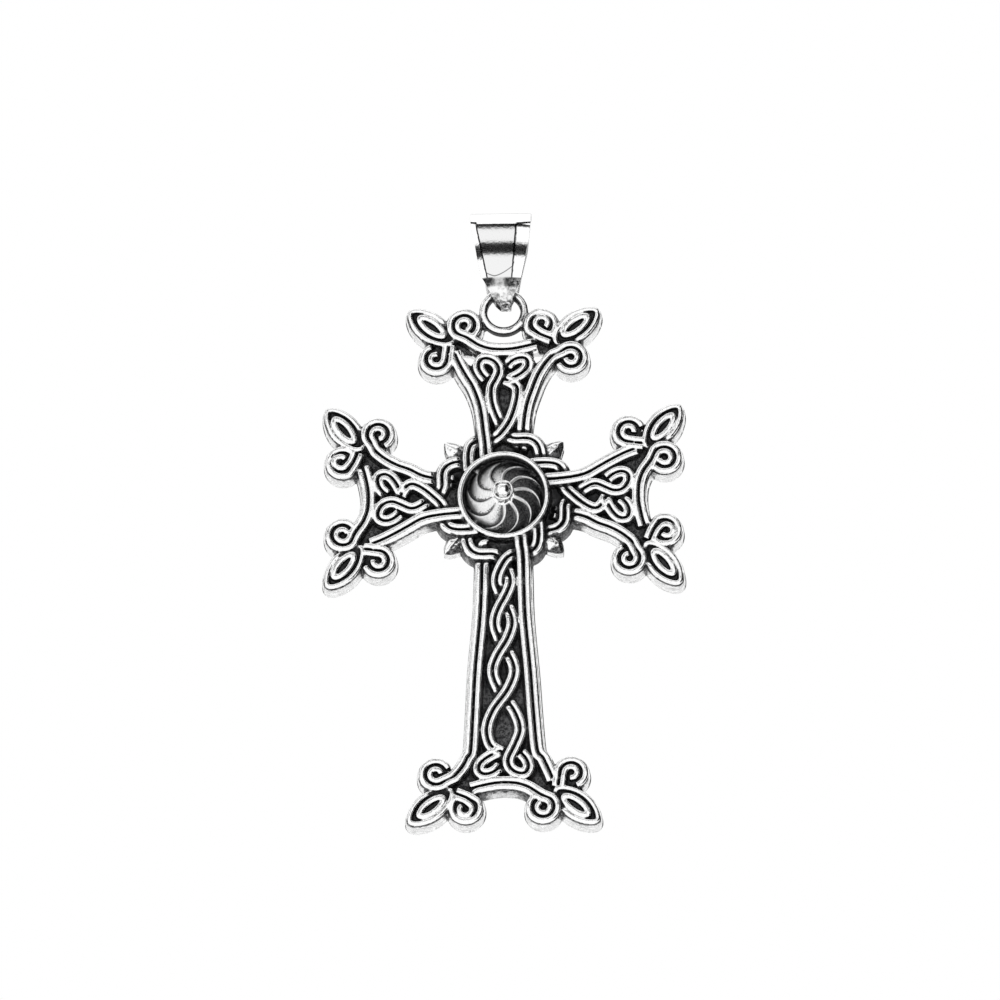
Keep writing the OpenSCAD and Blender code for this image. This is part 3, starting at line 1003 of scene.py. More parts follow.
def add_wear_and_shade(piece):
    """Stores how much the polishing cloth reached each place, less painted shade where sides face
    down and towards the lower right, and which bright places are walls, more where they face down.
    """
    rays = 24
    # A wide reach finds the recesses and a narrow one the grooves.
    wear_and_shade = 0.6 * openness(piece, 1.2, rays) + 0.4 * openness(piece, 0.5, rays)
    co, normal = mesh_arrays(piece)
    x, y, depth, facing = co[:, 0], co[:, 1], -co[:, 2], normal[:, 2]
    r, angle = np.hypot(x, y), np.arctan2(y, x)
    ring_r = np.hypot(x, y - RING_UP)
    along = (np.abs(x) + np.abs(y)) / math.sqrt(2)
    aside = (np.abs(x) - np.abs(y)) / math.sqrt(2)
    # 0 on the ring and on the buds, 1 elsewhere.
    off_ring = soft_step(ring_r, 2.5, 2.8)
    off_bud = 1 - soft_step(along, 6.2, 6.4) * close_to(aside, 0, 0.95, 1.05) * (r < 8.8)
    # Open ground is dark, but not the face of the ring or the buds.
    low = soft_step(depth, 0.22, 0.34) * off_bud + (1 - off_bud) * soft_step(depth, 0.62, 0.8)
    eye = 0.45 * soft_drop(depth, 0.6, 0.75)
    wear_and_shade -= (0.5 + eye) * low * off_ring * soft_step(facing, 0.45, 0.75)
    # The thin line under the ridges, where the wall starts, is oxide in the step; painted shade
    # darkens it more where it faces down.
    line = soft_step(depth, 0.2, 0.3) * soft_drop(depth, 0.44, 0.56) * off_bud
    under = soft_step(-normal[:, 1], 0.1, 0.5)
    wear_and_shade -= (0.2 + 0.3 * under) * line * off_ring * soft_drop(facing, 0.6, 0.8)
    # Lines around the ring's hole and in its face.
    wear_and_shade -= 0.6 * (1 - off_ring) * close_to(ring_r, 1.76, 0.1, 0.2)
    wear_and_shade -= 0.45 * (1 - off_ring) * close_to(ring_r, 2.1, 0.04, 0.09)
    # Painted shade: the outside of the ring and the wall of the foot's end bar are dark where they
    # face down.
    ring_shade_below = (1 - off_ring) * soft_step(ring_r, 2.2, 2.35) * soft_step(RING_UP - y, 1.0, 1.5)
    bar = close_to(x, 0, 2.0, 3.6) * soft_step(-y, FOOT_ARM - 1.2, FOOT_ARM - 0.8)
    bar *= soft_step(y, -FOOT_ARM - 1.7, -FOOT_ARM - 1.2)
    wear_and_shade -= 1.2 * ring_shade_below * soft_drop(facing, 0.4, 0.7)
    wear_and_shade -= 0.24 * bar * under * soft_drop(facing, 0.4, 0.7) * soft_step(depth, 0.2, 0.4)
    # The small holes of the top arm are bright inside.
    hole = close_to(np.abs(x), 3.6, 0.9, 1.1) * close_to(y - TOP_ARM, -1.0, 0.8, 1.0)
    inside = hole * soft_drop(facing, 0.3, 0.6) * soft_step(depth, 0.75, 0.9)
    wear_and_shade = np.maximum(wear_and_shade, 0.95 * inside)
    # Walls close to the wheel are hard to reach. Walls and bands at its lower right also get
    # painted shade, away from the light.
    near = soft_drop(r, 7.0, 10.2) * soft_step(r, 4.9, 5.2)
    wall = close_to(facing, 0, 0.5, 0.75) * soft_step(depth, 0.3, 0.5)
    shade_lower_right = soft_step(np.cos(angle - math.radians(-32)), 0.3, 0.8)
    wear_and_shade -= 0.33 * near * wall * off_bud
    wear_and_shade -= 0.14 * near * off_bud * shade_lower_right
    # Painted shade: the lower right side of each bud, away from the light, is dark.
    right = soft_step((normal[:, 0] - normal[:, 1]), 0.1, 0.45)
    wear_and_shade -= 0.5 * (1 - off_bud) * right * soft_step(facing, 0.1, 0.3)
    # Painted shade: walls that face down get more of the dull level marks.
    wall = wall * soft_step(wear_and_shade, 0.5, 0.7) * (0.35 + 0.65 * under)
    for name, values in (("wear_and_shade", wear_and_shade), ("wall", wall)):
        layer = piece.data.attributes.new(name, "FLOAT", "POINT")
        layer.data.foreach_set("value", values)


class PENDANT_OT_fuse(bpy.types.Operator):
    """Fuse all parts of the casting into one skin and finish it"""

    bl_idname = "pendant.fuse"
    bl_label = "Fuse Casting"

    def execute(self, context):
        casting, _, _ = settings()
        names = ("bands", "ground", "wheel", "buds", "loop_ring")
        pick(*(bpy.data.objects[name] for name in names))
        bpy.ops.object.join()
        piece = context.object
        piece.name = "cross_casting"
        size = casting.fineness * 1
        use_modifier(piece, "REMESH", mode="VOXEL", voxel_size=size)
        use_modifier(piece, "SMOOTH", factor=0.5, iterations=2)
        piece.data.calc_loop_triangles()
        share = casting.triangles / max(len(piece.data.loop_triangles), casting.triangles)
        use_modifier(piece, "DECIMATE", ratio=share)
        self.pierce(piece)
        bpy.ops.object.shade_smooth()
        add_wear_and_shade(piece)
        stand_up(piece)
        piece.data.materials.clear()
        piece.data.materials.append(oxidised_silver())
        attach(piece, "cross")
        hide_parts("cross")
        return {"FINISHED"}

    def pierce(self, piece):
        """Cuts the two small holes beside the end bar of the top arm."""
        for corners in HOLES:
            points = beyond(corners, TOP_ARM)
            outline = evened(np.array(points), step=0.1, passes=3, closed=True)
            cutter = slab("cutter", outline, -THICKNESS - 1, 1)
            pick(cutter)
            bpy.ops.object.convert(target="MESH")
            bpy.ops.object.transform_apply(location=True, rotation=True, scale=True)
            bpy.ops.object.mode_set(mode="EDIT")
            bpy.ops.mesh.select_all(action="SELECT")
            bpy.ops.mesh.remove_doubles(threshold=0.001)
            bpy.ops.mesh.normals_make_consistent(inside=False)
            bpy.ops.object.mode_set(mode="OBJECT")
            use_modifier(piece, "BOOLEAN", operation="DIFFERENCE", object=cutter, solver="EXACT")
            bpy.data.objects.remove(cutter)


# Materials

# Height of the scratches and the grain, in metres.
GRAIN_HEIGHT = 0.00003


def add_node(tree, kind, inputs=None, **values):
    """Adds a node; an input is either a value or the output that is linked to it."""
    node = tree.nodes.new(kind)
    for name, value in values.items():
        setattr(node, name, value)
    for name, value in (inputs or {}).items():
        if isinstance(value, bpy.types.NodeSocket):
            tree.links.new(value, node.inputs[name])
        else:
            node.inputs[name].default_value = value
    return node


def sums(tree, operation, a, b):
    """The result of a sum with two values."""
    return add_node(tree, "ShaderNodeMath", {0: a, 1: b}, operation=operation).outputs[0]


def step_up(tree, value, low, high, start=0.0, end=1.0):
    """A soft step from start to end while the value goes from low to high."""
    inputs = {"Value": value, "From Min": low, "From Max": high, "To Min": start, "To Max": end}
    return add_node(tree, "ShaderNodeMapRange", inputs, interpolation_type="SMOOTHSTEP").outputs[0]


def vectors(tree, operation, a, b):
    """The outputs of a sum with two vectors."""
    return add_node(tree, "ShaderNodeVectorMath", {0: a, 1: b}, operation=operation).outputs


def attribute(tree, name):
    """A value that is stored in the mesh."""
    return add_node(tree, "ShaderNodeAttribute", attribute_name=name).outputs["Fac"]


def noise(tree, place, scale, detail=3.0):
    """Cloudy noise between 0 and 1."""
    inputs = {"Vector": place, "Scale": scale, "Detail": detail, "Roughness": 0.6}
    return add_node(tree, "ShaderNodeTexNoise", inputs).outputs["Fac"]


def new_group(name, inputs, outputs):
    """An empty node group; inputs and outputs are (name, socket type)."""
    tree = bpy.data.node_groups.new(name, "ShaderNodeTree")
    for direction, sockets in (("INPUT", inputs), ("OUTPUT", outputs)):
        for socket, kind in sockets:
            tree.interface.new_socket(socket, in_out=direction, socket_type="NodeSocket" + kind)
    return tree, add_node(tree, "NodeGroupInput").outputs, add_node(tree, "NodeGroupOutput").inputs


def specks_group():
    """A few tiny round specks, spread by chance; share is how many cells have one."""
    name = "specks"
    if name in bpy.data.node_groups:
        return bpy.data.node_groups[name]
    sockets = [("Place", "Vector"), ("Scale", "Float"), ("Radius", "Float"), ("Share", "Float")]
    tree, given, out = new_group(name, sockets, [("Specks", "Float")])
    inputs = {"Vector": given["Place"], "Scale": given["Scale"]}
    cells = add_node(tree, "ShaderNodeTexVoronoi", inputs).outputs
    near = sums(tree, "LESS_THAN", cells["Distance"], given["Radius"])
    luck = add_node(tree, "ShaderNodeSeparateColor", {"Color": cells["Color"]}).outputs[0]
    chosen = sums(tree, "LESS_THAN", luck, given["Share"])
    tree.links.new(sums(tree, "MULTIPLY", near, chosen), out["Specks"])
    return tree


def grain_group():
    """Fine scratches and grain of worked silver as a height."""
    name = "grain"
    if name in bpy.data.node_groups:
        return bpy.data.node_groups[name]
    sockets = [("Height", "Float"), ("Streaks", "Float")]
    tree, given, out = new_group(name, [("Place", "Vector")], sockets)
    inputs = {"Vector": given["Place"], "Rotation": (0.3, 0.5, 0.9), "Scale": (9, 9, 1.2)}
    stretched = add_node(tree, "ShaderNodeMapping", inputs).outputs[0]
    scratches = noise(tree, stretched, 1.0, 4)
    lumps = noise(tree, given["Place"], 3.5, 2)
    height = sums(tree, "ADD", sums(tree, "MULTIPLY", scratches, 0.5), lumps)
    tree.links.new(height, out["Height"])
    tree.links.new(step_up(tree, scratches, 0.35, 0.7), out["Streaks"])
    return tree


def use_group(tree, group, inputs):
    """The outputs of a node group with these inputs."""
    return add_node(tree, "ShaderNodeGroup", inputs, node_tree=group).outputs


def new_metal(name):
    """A material with its shader, and the object's own place in millimetres."""
    material = bpy.data.materials.new(name)
    material.use_nodes = True
    tree = material.node_tree
    shader = tree.nodes["Principled BSDF"]
    shader.inputs["Metallic"].default_value = 1.0
    inputs = {0: add_node(tree, "ShaderNodeTexCoord").outputs["Object"], "Scale": 1 / MM}
    scaled = add_node(tree, "ShaderNodeVectorMath", inputs, operation="SCALE")
    return material, tree, shader, scaled.outputs[0]


def add_bump(tree, shader, height, strength):
    """Gives a shader the grain as a bump."""
    inputs = {"Height": height, "Strength": strength, "Distance": GRAIN_HEIGHT}
    bump = add_node(tree, "ShaderNodeBump", inputs)
    tree.links.new(bump.outputs[0], shader.inputs["Normal"])


def mixed(tree, factor, a, b):
    """A colour between a and b."""
    inputs = {0: factor, 6: a, 7: b}
    return add_node(tree, "ShaderNodeMix", inputs, data_type="RGBA").outputs[2]


def blend(tree, factor, a, b):
    """A number between a and b."""
    return add_node(tree, "ShaderNodeMix", {0: factor, 2: a, 3: b}).outputs[0]


def near_to(tree, value, middle, half, edge):
    """1 where the value is within half of the middle, with a soft edge."""
    off = sums(tree, "ABSOLUTE", sums(tree, "SUBTRACT", value, middle), 0.0)
    return step_up(tree, off, half - edge / 2, half + edge / 2, 1, 0)


def wheel_phase(tree, r, angle):
    """The same place between two crests as vane_phase gives, from nodes."""
    _, wheel, _ = settings()
    beyond_start = sums(tree, "SUBTRACT", r, VANE_START_R)
    share = sums(tree, "MAXIMUM", sums(tree, "DIVIDE", beyond_start, VANE_LENGTH), 0.0)
    back = sums(tree, "MULTIPLY", sums(tree, "POWER", share, VANE_BEND), wheel.vane_turn)
    turn = sums(tree, "SUBTRACT", sums(tree, "ADD", angle, back), wheel.vane_start)
    return sums(tree, "FRACT", sums(tree, "MULTIPLY", turn, wheel.vanes / (2 * math.pi)), 0.0)


def wheel_masks(tree, place, fine):
    """Where the vanes of the wheel are, how bright they are rubbed at the crests and painted lit on
    the left half, and how dark the rest is.
    """
    _, wheel, _ = settings()
    off = vectors(tree, "SUBTRACT", place, tuple(CENTRE))[0]
    axes = add_node(tree, "ShaderNodeSeparateXYZ", {"Vector": off}).outputs
    flat = vectors(tree, "MULTIPLY", off, (1, 0, 1))[0]
    r = add_node(tree, "ShaderNodeVectorMath", {0: flat}, operation="LENGTH").outputs["Value"]
    angle = sums(tree, "ARCTAN2", axes["Z"], axes["X"])
    phase = wheel_phase(tree, r, angle)
    rough = sums(tree, "MULTIPLY", sums(tree, "SUBTRACT", fine, 0.5), 0.9)
    # The crests are thin bright lines.
    off_crest = sums(tree, "MINIMUM", phase, sums(tree, "SUBTRACT", 1.0, phase))
    off_crest = sums(tree, "MULTIPLY", off_crest, r)
    off_crest = sums(tree, "MULTIPLY", off_crest, 2 * math.pi / wheel.vanes)
    ragged = sums(tree, "ADD", off_crest, sums(tree, "MULTIPLY", rough, 0.08))
    crest = step_up(tree, ragged, 0.12, 0.17, 1, 0)
    # Painted light: the faces of the vanes are bright on the left half, where the light falls, with
    # a ragged edge.
    left = sums(tree, "COSINE", sums(tree, "SUBTRACT", angle, 3.05), 0.0)
    left = step_up(tree, sums(tree, "ADD", left, rough), -0.05, 0.35)
    face = step_up(tree, sums(tree, "ADD", phase, rough), 0.6, 0.78, 1, 0)
    face = sums(tree, "MULTIPLY", face, step_up(tree, phase, 0.86, 0.9, 1, 0))
    bright = sums(tree, "MAXIMUM", crest, sums(tree, "MULTIPLY", face, left))
    ragged = sums(tree, "ADD", r, sums(tree, "MULTIPLY", rough, 0.4))
    inside = step_up(tree, ragged, 3.8, 3.98, 1, 0)
    # The zone is the dome between hub and rim, seen from the front.
    front = step_up(tree, axes["Y"], 0.4, 0.8, 1, 0)
    zone = sums(tree, "MULTIPLY", step_up(tree, r, 1.12, 1.18), step_up(tree, r, 4.1, 4.18, 1, 0))
    # The rest is darkest at the foot of the rim and of each vane.
    foot = near_to(tree, phase, 0.91, 0.05, 0.04)
    foot = sums(tree, "MAXIMUM", step_up(tree, r, 3.92, 4.02), foot)
    level = step_up(tree, fine, 0.3, 0.7, 0, 0.9)
    level = sums(tree, "MULTIPLY", level, sums(tree, "SUBTRACT", 1.0, foot))
    return sums(tree, "MULTIPLY", zone, front), sums(tree, "MULTIPLY", bright, inside), level


def oxidised_silver():
    """Bright where a cloth reaches, dark where oxide is left in the recesses; with painted shade
    where sides face down and towards the lower right, and painted light on the left half of the
    wheel's vanes.
    """
    _, _, finish = settings()
    material, tree, shader, place = new_metal("oxidised_silver")
    wear_and_shade = attribute(tree, "wear_and_shade")
    cloud = noise(tree, place, 1.6, 4)
    fine = noise(tree, place, 7.0, 3)
    uneven = sums(tree, "MULTIPLY", cloud, 0.14)
    uneven = sums(tree, "ADD", uneven, sums(tree, "MULTIPLY", fine, 0.2))
    rubbed_and_lit = step_up(tree, sums(tree, "ADD", wear_and_shade, uneven), 0.75, 0.99)
    grain = use_group(tree, grain_group(), {"Place": place})
    inputs = {"Place": place, "Scale": 1.1, "Radius": 0.09, "Share": 0.35}
    specks = use_group(tree, specks_group(), inputs)["Specks"]
    lit = sums(tree, "MULTIPLY", specks, step_up(tree, wear_and_shade, 0.2, 0.3))
    rubbed_and_lit = sums(tree, "MAXIMUM", rubbed_and_lit, lit)
    patchy = sums(tree, "ADD", fine, noise(tree, place, 3.0, 3))
    patchy = step_up(tree, patchy, 0.86, 1.16)
    mottle = sums(tree, "MULTIPLY", step_up(tree, wear_and_shade, -0.1, 0.35), patchy)
    zone, vanes, level = wheel_masks(tree, place, fine)
    # On the wheel, rubbed crests and the painted light on the left half of the faces take the place
    # of the cloth's wear.
    rubbed_and_lit = blend(tree, zone, rubbed_and_lit, vanes)
    mottle = blend(tree, zone, mottle, level)
    dark = mixed(tree, mottle, (*finish.oxide, 1), (*finish.ground, 1))
    dull = (*(0.5 * c for c in finish.silver), 1)
    streaks = sums(tree, "MULTIPLY", grain["Streaks"], 0.4)
    bright = mixed(tree, streaks, (*finish.silver, 1), dull)
    # Level marks on the walls, stronger where the walls face down: painted shade.
    inputs = {"Vector": place, "Scale": (1.4, 11, 1.4)}
    drawn = add_node(tree, "ShaderNodeMapping", inputs).outputs[0]
    marks = sums(tree, "ADD", noise(tree, drawn, 1.0, 3), noise(tree, place, 9.0, 3))
    marks = step_up(tree, marks, 0.92, 1.12, 1, 0)
    marked_and_shaded = sums(tree, "MULTIPLY", attribute(tree, "wall"), marks)
    bright = mixed(tree, marked_and_shaded, bright, dull)
    tree.links.new(mixed(tree, rubbed_and_lit, dark, bright), shader.inputs["Base Color"])
    # The bright faces of the vanes, rubbed crests and painted light on the left half, are frosted,
    # not polished.
    frosted = sums(tree, "MULTIPLY", zone, rubbed_and_lit)
    smooth = step_up(tree, rubbed_and_lit, 0, 1, 0.55, 0.16)
    rough = sums(tree, "ADD", smooth, sums(tree, "MULTIPLY", frosted, 0.2))
    tree.links.new(rough, shader.inputs["Roughness"])
    metallic = sums(tree, "SUBTRACT", 1.0, sums(tree, "MULTIPLY", frosted, 0.4))
    tree.links.new(metallic, shader.inputs["Metallic"])
    add_bump(tree, shader, grain["Height"], 0.35)
    return material


def polished_silver():
    """Mirror bright, with painted reflections as dark lines along the edges of the panel, stained
    on the wedge below.
    """
    _, _, finish = settings()
    material, tree, shader, place = new_metal("polished_silver")
    across = attribute(tree, "across")
    axes = add_node(tree, "ShaderNodeSeparateXYZ", {"Vector": place}).outputs
    cloud = noise(tree, place, 0.9, 3)
    fine = noise(tree, place, 3.2, 4)
    grain = use_group(tree, grain_group(), {"Place": place})
    inputs = {"Place": place, "Scale": 0.9, "Radius": 0.10, "Share": 0.25}
    pits = use_group(tree, specks_group(), inputs)["Specks"]
    # Painted reflections: dark lines along the edges of the panel.
    wavy = sums(tree, "MULTIPLY", sums(tree, "SUBTRACT", fine, 0.5), 0.25)
    wavy = sums(tree, "ADD", across, wavy)
    left, right = near_to(tree, wavy, 0.98, 0.16, 0.12), near_to(tree, wavy, 9.86, 0.2, 0.14)
    lines = sums(tree, "MAXIMUM", left, right)
    lines = sums(tree, "MULTIPLY", lines, step_up(tree, axes["Z"], -1.5, -1.0, 1, 0))
    # A fold line across the foot of the panel.
    arch = sums(tree, "ABSOLUTE", sums(tree, "ADD", axes["X"], 0.65), 0.0)
    arch = sums(tree, "MULTIPLY", sums(tree, "POWER", arch, 1.5), 0.42)
    fold = near_to(tree, sums(tree, "SUBTRACT", axes["Z"], arch), -6.95, 0.06, 0.06)
    fold = sums(tree, "MULTIPLY", fold, near_to(tree, across, 5.5, 4.5, 0.4))
    dark = sums(tree, "MAXIMUM", lines, sums(tree, "MULTIPLY", fold, 0.75))
    dark = sums(tree, "MAXIMUM", dark, sums(tree, "MULTIPLY", pits, 0.8))
    panel = near_to(tree, across, 5.5, 4.5, 0.3)
    panel = sums(tree, "MULTIPLY", panel, step_up(tree, axes["Z"], -1.6, -1.3, 1, 0))
    dull = (*(0.72 * c for c in finish.silver), 1)
    streaks = sums(tree, "MULTIPLY", grain["Streaks"], 0.3)
    streaks = sums(tree, "MAXIMUM", streaks, sums(tree, "MULTIPLY", panel, 0.75))
    bright = mixed(tree, streaks, (*finish.silver, 1), dull)
    # The wedge: dark and mottled under the bend, grey and white below it.
    oxide = (*finish.oxide, 1)
    stained = sums(tree, "ADD", cloud, sums(tree, "MULTIPLY", fine, 0.5))
    stained = step_up(tree, stained, 0.62, 0.9)
    grey = mixed(tree, stained, (0.9, 0.9, 0.9, 1), (0.2, 0.2, 0.2, 1))
    bend = sums(tree, "ADD", axes["Z"], sums(tree, "MULTIPLY", cloud, 0.5))
    bend = near_to(tree, bend, -7.2, 0.42, 0.3)
    edges = sums(tree, "ABSOLUTE", sums(tree, "ADD", axes["X"], 0.1), 0.0)
    edges = step_up(tree, edges, 0.2, 0.9, 0.3, 0.0)
    soot = step_up(tree, sums(tree, "ADD", fine, edges), 0.4, 0.75, 1, 0.35)
    soot = sums(tree, "MULTIPLY", bend, soot)
    tip = step_up(tree, axes["Z"], -9.3, -8.7, 1, 0)
    tip = sums(tree, "MULTIPLY", tip, step_up(tree, fine, 0.35, 0.6))
    grey = mixed(tree, sums(tree, "MAXIMUM", soot, tip), grey, oxide)
    wedge = step_up(tree, axes["Z"], -7.2, -7.0, 1, 0)
    colour = mixed(tree, wedge, mixed(tree, dark, bright, oxide), grey)
    tree.links.new(colour, shader.inputs["Base Color"])
    # The cut edges of the strip are rough.
    sides = near_to(tree, across, 5.5, 5.48, 0.02)
    rough = blend(tree, sides, 1.0, blend(tree, wedge, 0.07, 0.3))
    tree.links.new(rough, shader.inputs["Roughness"])
    add_bump(tree, shader, grain["Height"], 0.08)
    return material


# Bail

# Edges of the strip. Columns: height, left edge, right edge, seen from the front.
BAIL_EDGES = [
    (0.6, -3.10, 2.95),
    (-0.8, -3.13, 2.97),
    (-2.7, -2.78, 2.82),
    (-4.85, -2.45, 2.46),
    (-7.0, -1.98, 2.02),
    (-7.7, -1.50, 1.75),
    (-8.1, -1.27, 1.50),
    (-8.9, -0.80, 1.10),
    (-9.6, -0.10, 0.95),
]
# Edges of its front panel. Columns: height, left edge, right edge.
BAIL_PANEL = [(0.6, -2.5, 1.5), (-1.7, -2.46, 1.54), (-7.1, -1.37, 1.10), (-9.6, 0.1, 0.85)]
# Its front, seen from the side. Columns: height at which a part ends, slope of the normal
# there in degrees.
BAIL_SLOPES = [(-1.45, 10), (-3.8, 4), (-5.4, 0), (-6.9, -3), (-7.2, -39), (-9.56, -39)]
# Columns of faces across the strip: 0 and 11 are its edges, 1 and 10 those of the panel.
BAIL_COLUMNS = [0, 0.5, 1, 2, 3, 4, 5, 6, 7, 8, 9, 10, 10.5, 11]
BAIL_ROUND = 2.35
BAIL_TOP = 0.5
BAIL_THICKNESS = 0.5
BAIL_STEP = 0.12
# How far the facets beside the panel lean back, on the left and on the right.
BAIL_LEAN = (math.radians(24), math.radians(14))


def bail_side():
    """Half of the side of the bail, from the middle of the top down its front."""
    centre = BAIL_TOP - BAIL_ROUND
    arc = np.radians(np.linspace(90, 10, 41))
    points = [(BAIL_ROUND * math.cos(a), centre + BAIL_ROUND * math.sin(a)) for a in arc]
    heights, lean = np.array(BAIL_SLOPES).T
    depth, height = points[-1]
    while height > heights[-1]:
        angle = np.interp(-height, -heights, lean)
        depth += BAIL_STEP * math.tan(math.radians(angle))
        height -= BAIL_STEP
        points.append((depth, height))
    return np.array(points)


class PENDANT_OT_bail(bpy.types.Operator):
    """Bend the bail from a faceted strip and give it its thickness"""

    bl_idname = "pendant.bail"
    bl_label = "Bail"

    def execute(self, context):
        half = bail_side()
        side = np.vstack([half[::-1] * (-1, 1), half[1:]])
        columns, rows = len(BAIL_COLUMNS) - 1, len(side)
        deselect()
        bpy.ops.mesh.primitive_grid_add(x_subdivisions=columns, y_subdivisions=rows, size=1)
        bail = context.object
        bail.name = "bail_strip"
        co, _ = mesh_arrays(bail)
        column = np.rint((co[:, 0] + 0.5) * columns).astype(int)
        row = np.rint((co[:, 1] + 0.5) * rows).astype(int) % rows
        depth, height = side[row, 0], side[row, 1]
        edges, panel = np.array(BAIL_EDGES)[::-1].T, np.array(BAIL_PANEL)[::-1].T
        left, right = (np.interp(height, edges[0], edges[k]) for k in (1, 2))
        panel_left, panel_right = (np.interp(height, panel[0], panel[k]) for k in (1, 2))
        share = np.array(BAIL_COLUMNS)[column]
        inner = np.clip((share - 1) / 9, 0, 1)
        x = panel_left * (1 - inner) + panel_right * inner
        x = np.where(share < 1, left * (1 - share) + panel_left * share, x)
        x = np.where(share > 10, panel_right * (11 - share) + right * (share - 10), x)
        # The back half is a tenth narrower, and a fifth at its lower end.
        x = x * (1 - 0.1 * soft_step(-depth, 0.2, 1.6) * (1 + soft_step(-height, 2, 6)))
        co[:, 0], co[:, 1], co[:, 2] = x, -depth, height
        slope = np.where(x < 0, math.tan(BAIL_LEAN[0]), math.tan(BAIL_LEAN[1]))
        outside = np.maximum(panel_left - x, 0) + np.maximum(x - panel_right, 0)
        fade = np.clip((0.2 - height) / 1.5, 0, 1)
        co[:, 1] += np.where(depth > 0, 1, -1) * outside * slope * fade
        bail.data.vertices.foreach_set("co", co.ravel())
        layer = bail.data.attributes.new("across", "FLOAT", "POINT")
        layer.data.foreach_set("value", share)
        self.close(bail)
        use_modifier(
            bail, "SOLIDIFY", thickness=BAIL_THICKNESS, offset=-1.0, use_even_offset=True
        )
        bpy.ops.object.shade_smooth_by_angle(angle=math.radians(7))
        bail.scale = (MM, MM, MM)
        pick(bail)
        bpy.ops.object.transform_apply(location=True, rotation=True, scale=True)
        bail.data.materials.append(polished_silver())
        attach(bail, "bail")
        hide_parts("bail")
        return {"FINISHED"}

    def close(self, bail):
        """Joins the two ends of the strip and turns its normals outward."""
        pick(bail)
        bpy.ops.object.mode_set(mode="EDIT")
        bpy.ops.mesh.select_all(action="SELECT")
        bpy.ops.mesh.remove_doubles(threshold=0.002)
        bpy.ops.mesh.normals_make_consistent(inside=False)
        bpy.ops.object.mode_set(mode="OBJECT")


# Stage


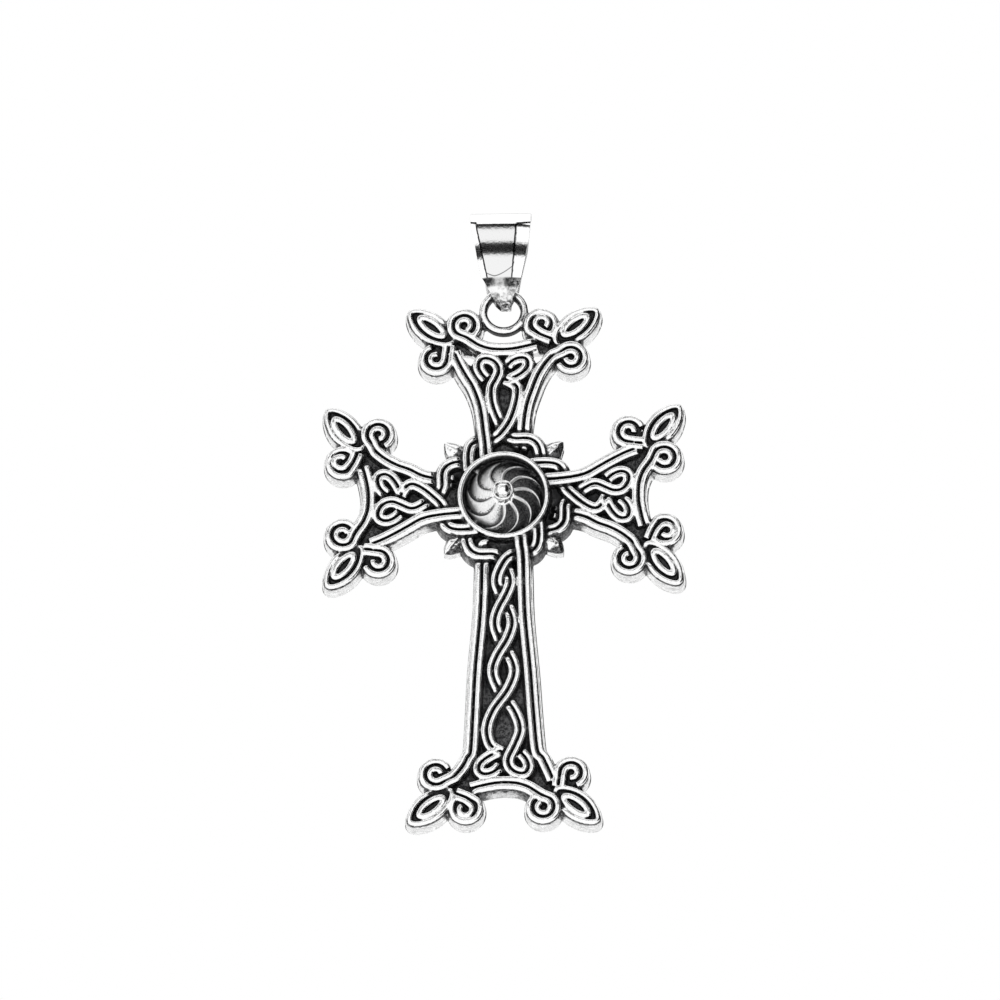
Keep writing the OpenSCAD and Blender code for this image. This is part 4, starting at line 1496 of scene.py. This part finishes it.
class PENDANT_OT_stage(bpy.types.Operator):
    """Set up the pale floor, the soft studio light and the camera"""

    bl_idname = "pendant.stage"
    bl_label = "Stage"

    def execute(self, context):
        scene = context.scene
        deselect()
        bpy.ops.mesh.primitive_plane_add(size=12, location=(0, 0, -1.1))
        floor = context.object
        floor.name = "floor"
        paint = bpy.data.materials.new("pale_floor")
        paint.use_nodes = True
        sockets = paint.node_tree.nodes["Principled BSDF"].inputs
        sockets["Base Color"].default_value = (0.85, 0.85, 0.85, 1)
        sockets["Roughness"].default_value = 0.8
        sockets["Emission Color"].default_value = (1, 1, 1, 1)
        sockets["Emission Strength"].default_value = 0.35
        floor.data.materials.append(paint)
        floor.visible_glossy = False
        self.camera(scene)
        scene.world = self.studio()
        scene.view_settings.view_transform = "Standard"
        return {"FINISHED"}

    def studio(self):
        """A white tent with its dark gaps; the camera itself sees plain white."""
        world = bpy.data.worlds.new("studio")
        world.use_nodes = True
        tree = world.node_tree
        way = add_node(tree, "ShaderNodeTexCoord").outputs["Generated"]
        axes = add_node(tree, "ShaderNodeSeparateXYZ", {"Vector": way}).outputs
        # Directions in degrees: round from the front to the right, and up.
        degrees = 57.3  # in a radian
        turn = sums(tree, "ARCTAN2", axes["X"], sums(tree, "MULTIPLY", axes["Y"], -1.0))
        turn = sums(tree, "MULTIPLY", turn, degrees)
        rise = sums(tree, "MULTIPLY", sums(tree, "ARCSINE", axes["Z"], 0.0), degrees)
        # How far a direction lies from the camera's side: -1 in front, 1 behind.
        behind = vectors(tree, "DOT_PRODUCT", way, (0, 0.94, 0.342))["Value"]
        # Two dark bands in front, the lower one bent down at its ends.
        lean = sums(tree, "MULTIPLY", sums(tree, "MULTIPLY", turn, turn), -0.0046)
        low_band = near_to(tree, sums(tree, "SUBTRACT", rise, lean), 28, 3.4, 1)
        high_band = near_to(tree, rise, 45, 5.6, 1.5)
        band = sums(tree, "MAXIMUM", low_band, high_band)
        band = sums(tree, "MULTIPLY", band, near_to(tree, turn, 0, 62, 6))
        # A dark card on the right, dark zones on both sides of the back, a dark gap behind.
        card = near_to(tree, turn, 78, 40, 8)
        card = sums(tree, "MULTIPLY", card, near_to(tree, rise, 12, 46, 8))
        zone = near_to(tree, behind, 0.44, 0.32, 0.16)
        zone = sums(tree, "MULTIPLY", zone, near_to(tree, rise, 18, 21, 10))
        dark = sums(tree, "MAXIMUM", band, card)
        dark = sums(tree, "MAXIMUM", dark, zone)
        dark = sums(tree, "MAXIMUM", dark, step_up(tree, behind, 0.95, 0.975))
        light = mixed(tree, dark, (1.2, 1.2, 1.2, 1), (0.015, 0.015, 0.015, 1))
        seen = add_node(tree, "ShaderNodeLightPath").outputs["Is Camera Ray"]
        colour = mixed(tree, seen, light, (1, 1, 1, 1))
        tree.links.new(colour, tree.nodes["Background"].inputs["Color"])
        return world

    def camera(self, scene):
        """A long lens from 20 degrees below and 2 to the right, as in the photograph."""
        distance = 2.5
        seen_width = 0.1
        tilt, side = math.radians(20), math.radians(2)
        data = bpy.data.cameras.new("camera")
        data.sensor_width = 36
        data.lens = data.sensor_width * distance / seen_width
        data.clip_start = 0.01
        data.clip_end = 20
        camera = bpy.data.objects.new("camera", data)
        scene.collection.objects.link(camera)
        right = Vector((math.cos(side), math.sin(side), 0))
        level = math.cos(tilt)
        ahead = Vector((-math.sin(side) * level, math.cos(side) * level, math.sin(tilt)))
        up = right.cross(ahead)
        # The middle of the picture lies this far left of and below the middle of the wheel.
        off_left, off_down = 3.5e-4, 4.5e-4
        target = CENTRE * MM - right * off_left - up * off_down
        camera.location = target - ahead * distance
        camera.rotation_mode = "QUATERNION"
        camera.rotation_quaternion = ahead.to_track_quat("-Z", "Y")
        scene.camera = camera


# Panel and registration


class PENDANT_PT_panel(bpy.types.Panel):
    """Lists the steps of the pendant"""

    bl_label = "Pendant"
    bl_idname = "PENDANT_PT_panel"
    bl_space_type = "VIEW_3D"
    bl_region_type = "UI"
    bl_category = "Pendant"

    def draw(self, context):
        for step in STEPS:
            self.layout.operator(step.bl_idname)


STEPS = [
    PENDANT_OT_stage,
    PENDANT_OT_bands,
    PENDANT_OT_ground,
    PENDANT_OT_wheel,
    PENDANT_OT_buds,
    PENDANT_OT_loop_ring,
    PENDANT_OT_fuse,
    PENDANT_OT_bail,
]
GROUPS = {
    "pendant_casting": PendantCasting,
    "pendant_wheel": PendantWheel,
    "pendant_finish": PendantFinish,
}
CLASSES = [*GROUPS.values(), *STEPS, PENDANT_PT_panel]


def register():
    for cls in CLASSES:
        bpy.utils.register_class(cls)
    for name, group in GROUPS.items():
        setattr(bpy.types.Scene, name, bpy.props.PointerProperty(type=group))


def unregister():
    for name in GROUPS:
        delattr(bpy.types.Scene, name)
    for cls in reversed(CLASSES):
        bpy.utils.unregister_class(cls)


def main():
    """Builds the stage and both pieces."""
    register()
    bpy.ops.pendant.stage()
    bpy.ops.pendant.bands()
    bpy.ops.pendant.ground()
    bpy.ops.pendant.wheel()
    bpy.ops.pendant.buds()
    bpy.ops.pendant.loop_ring()
    bpy.ops.pendant.fuse()
    bpy.ops.pendant.bail()


if __name__ == "__main__":
    main()
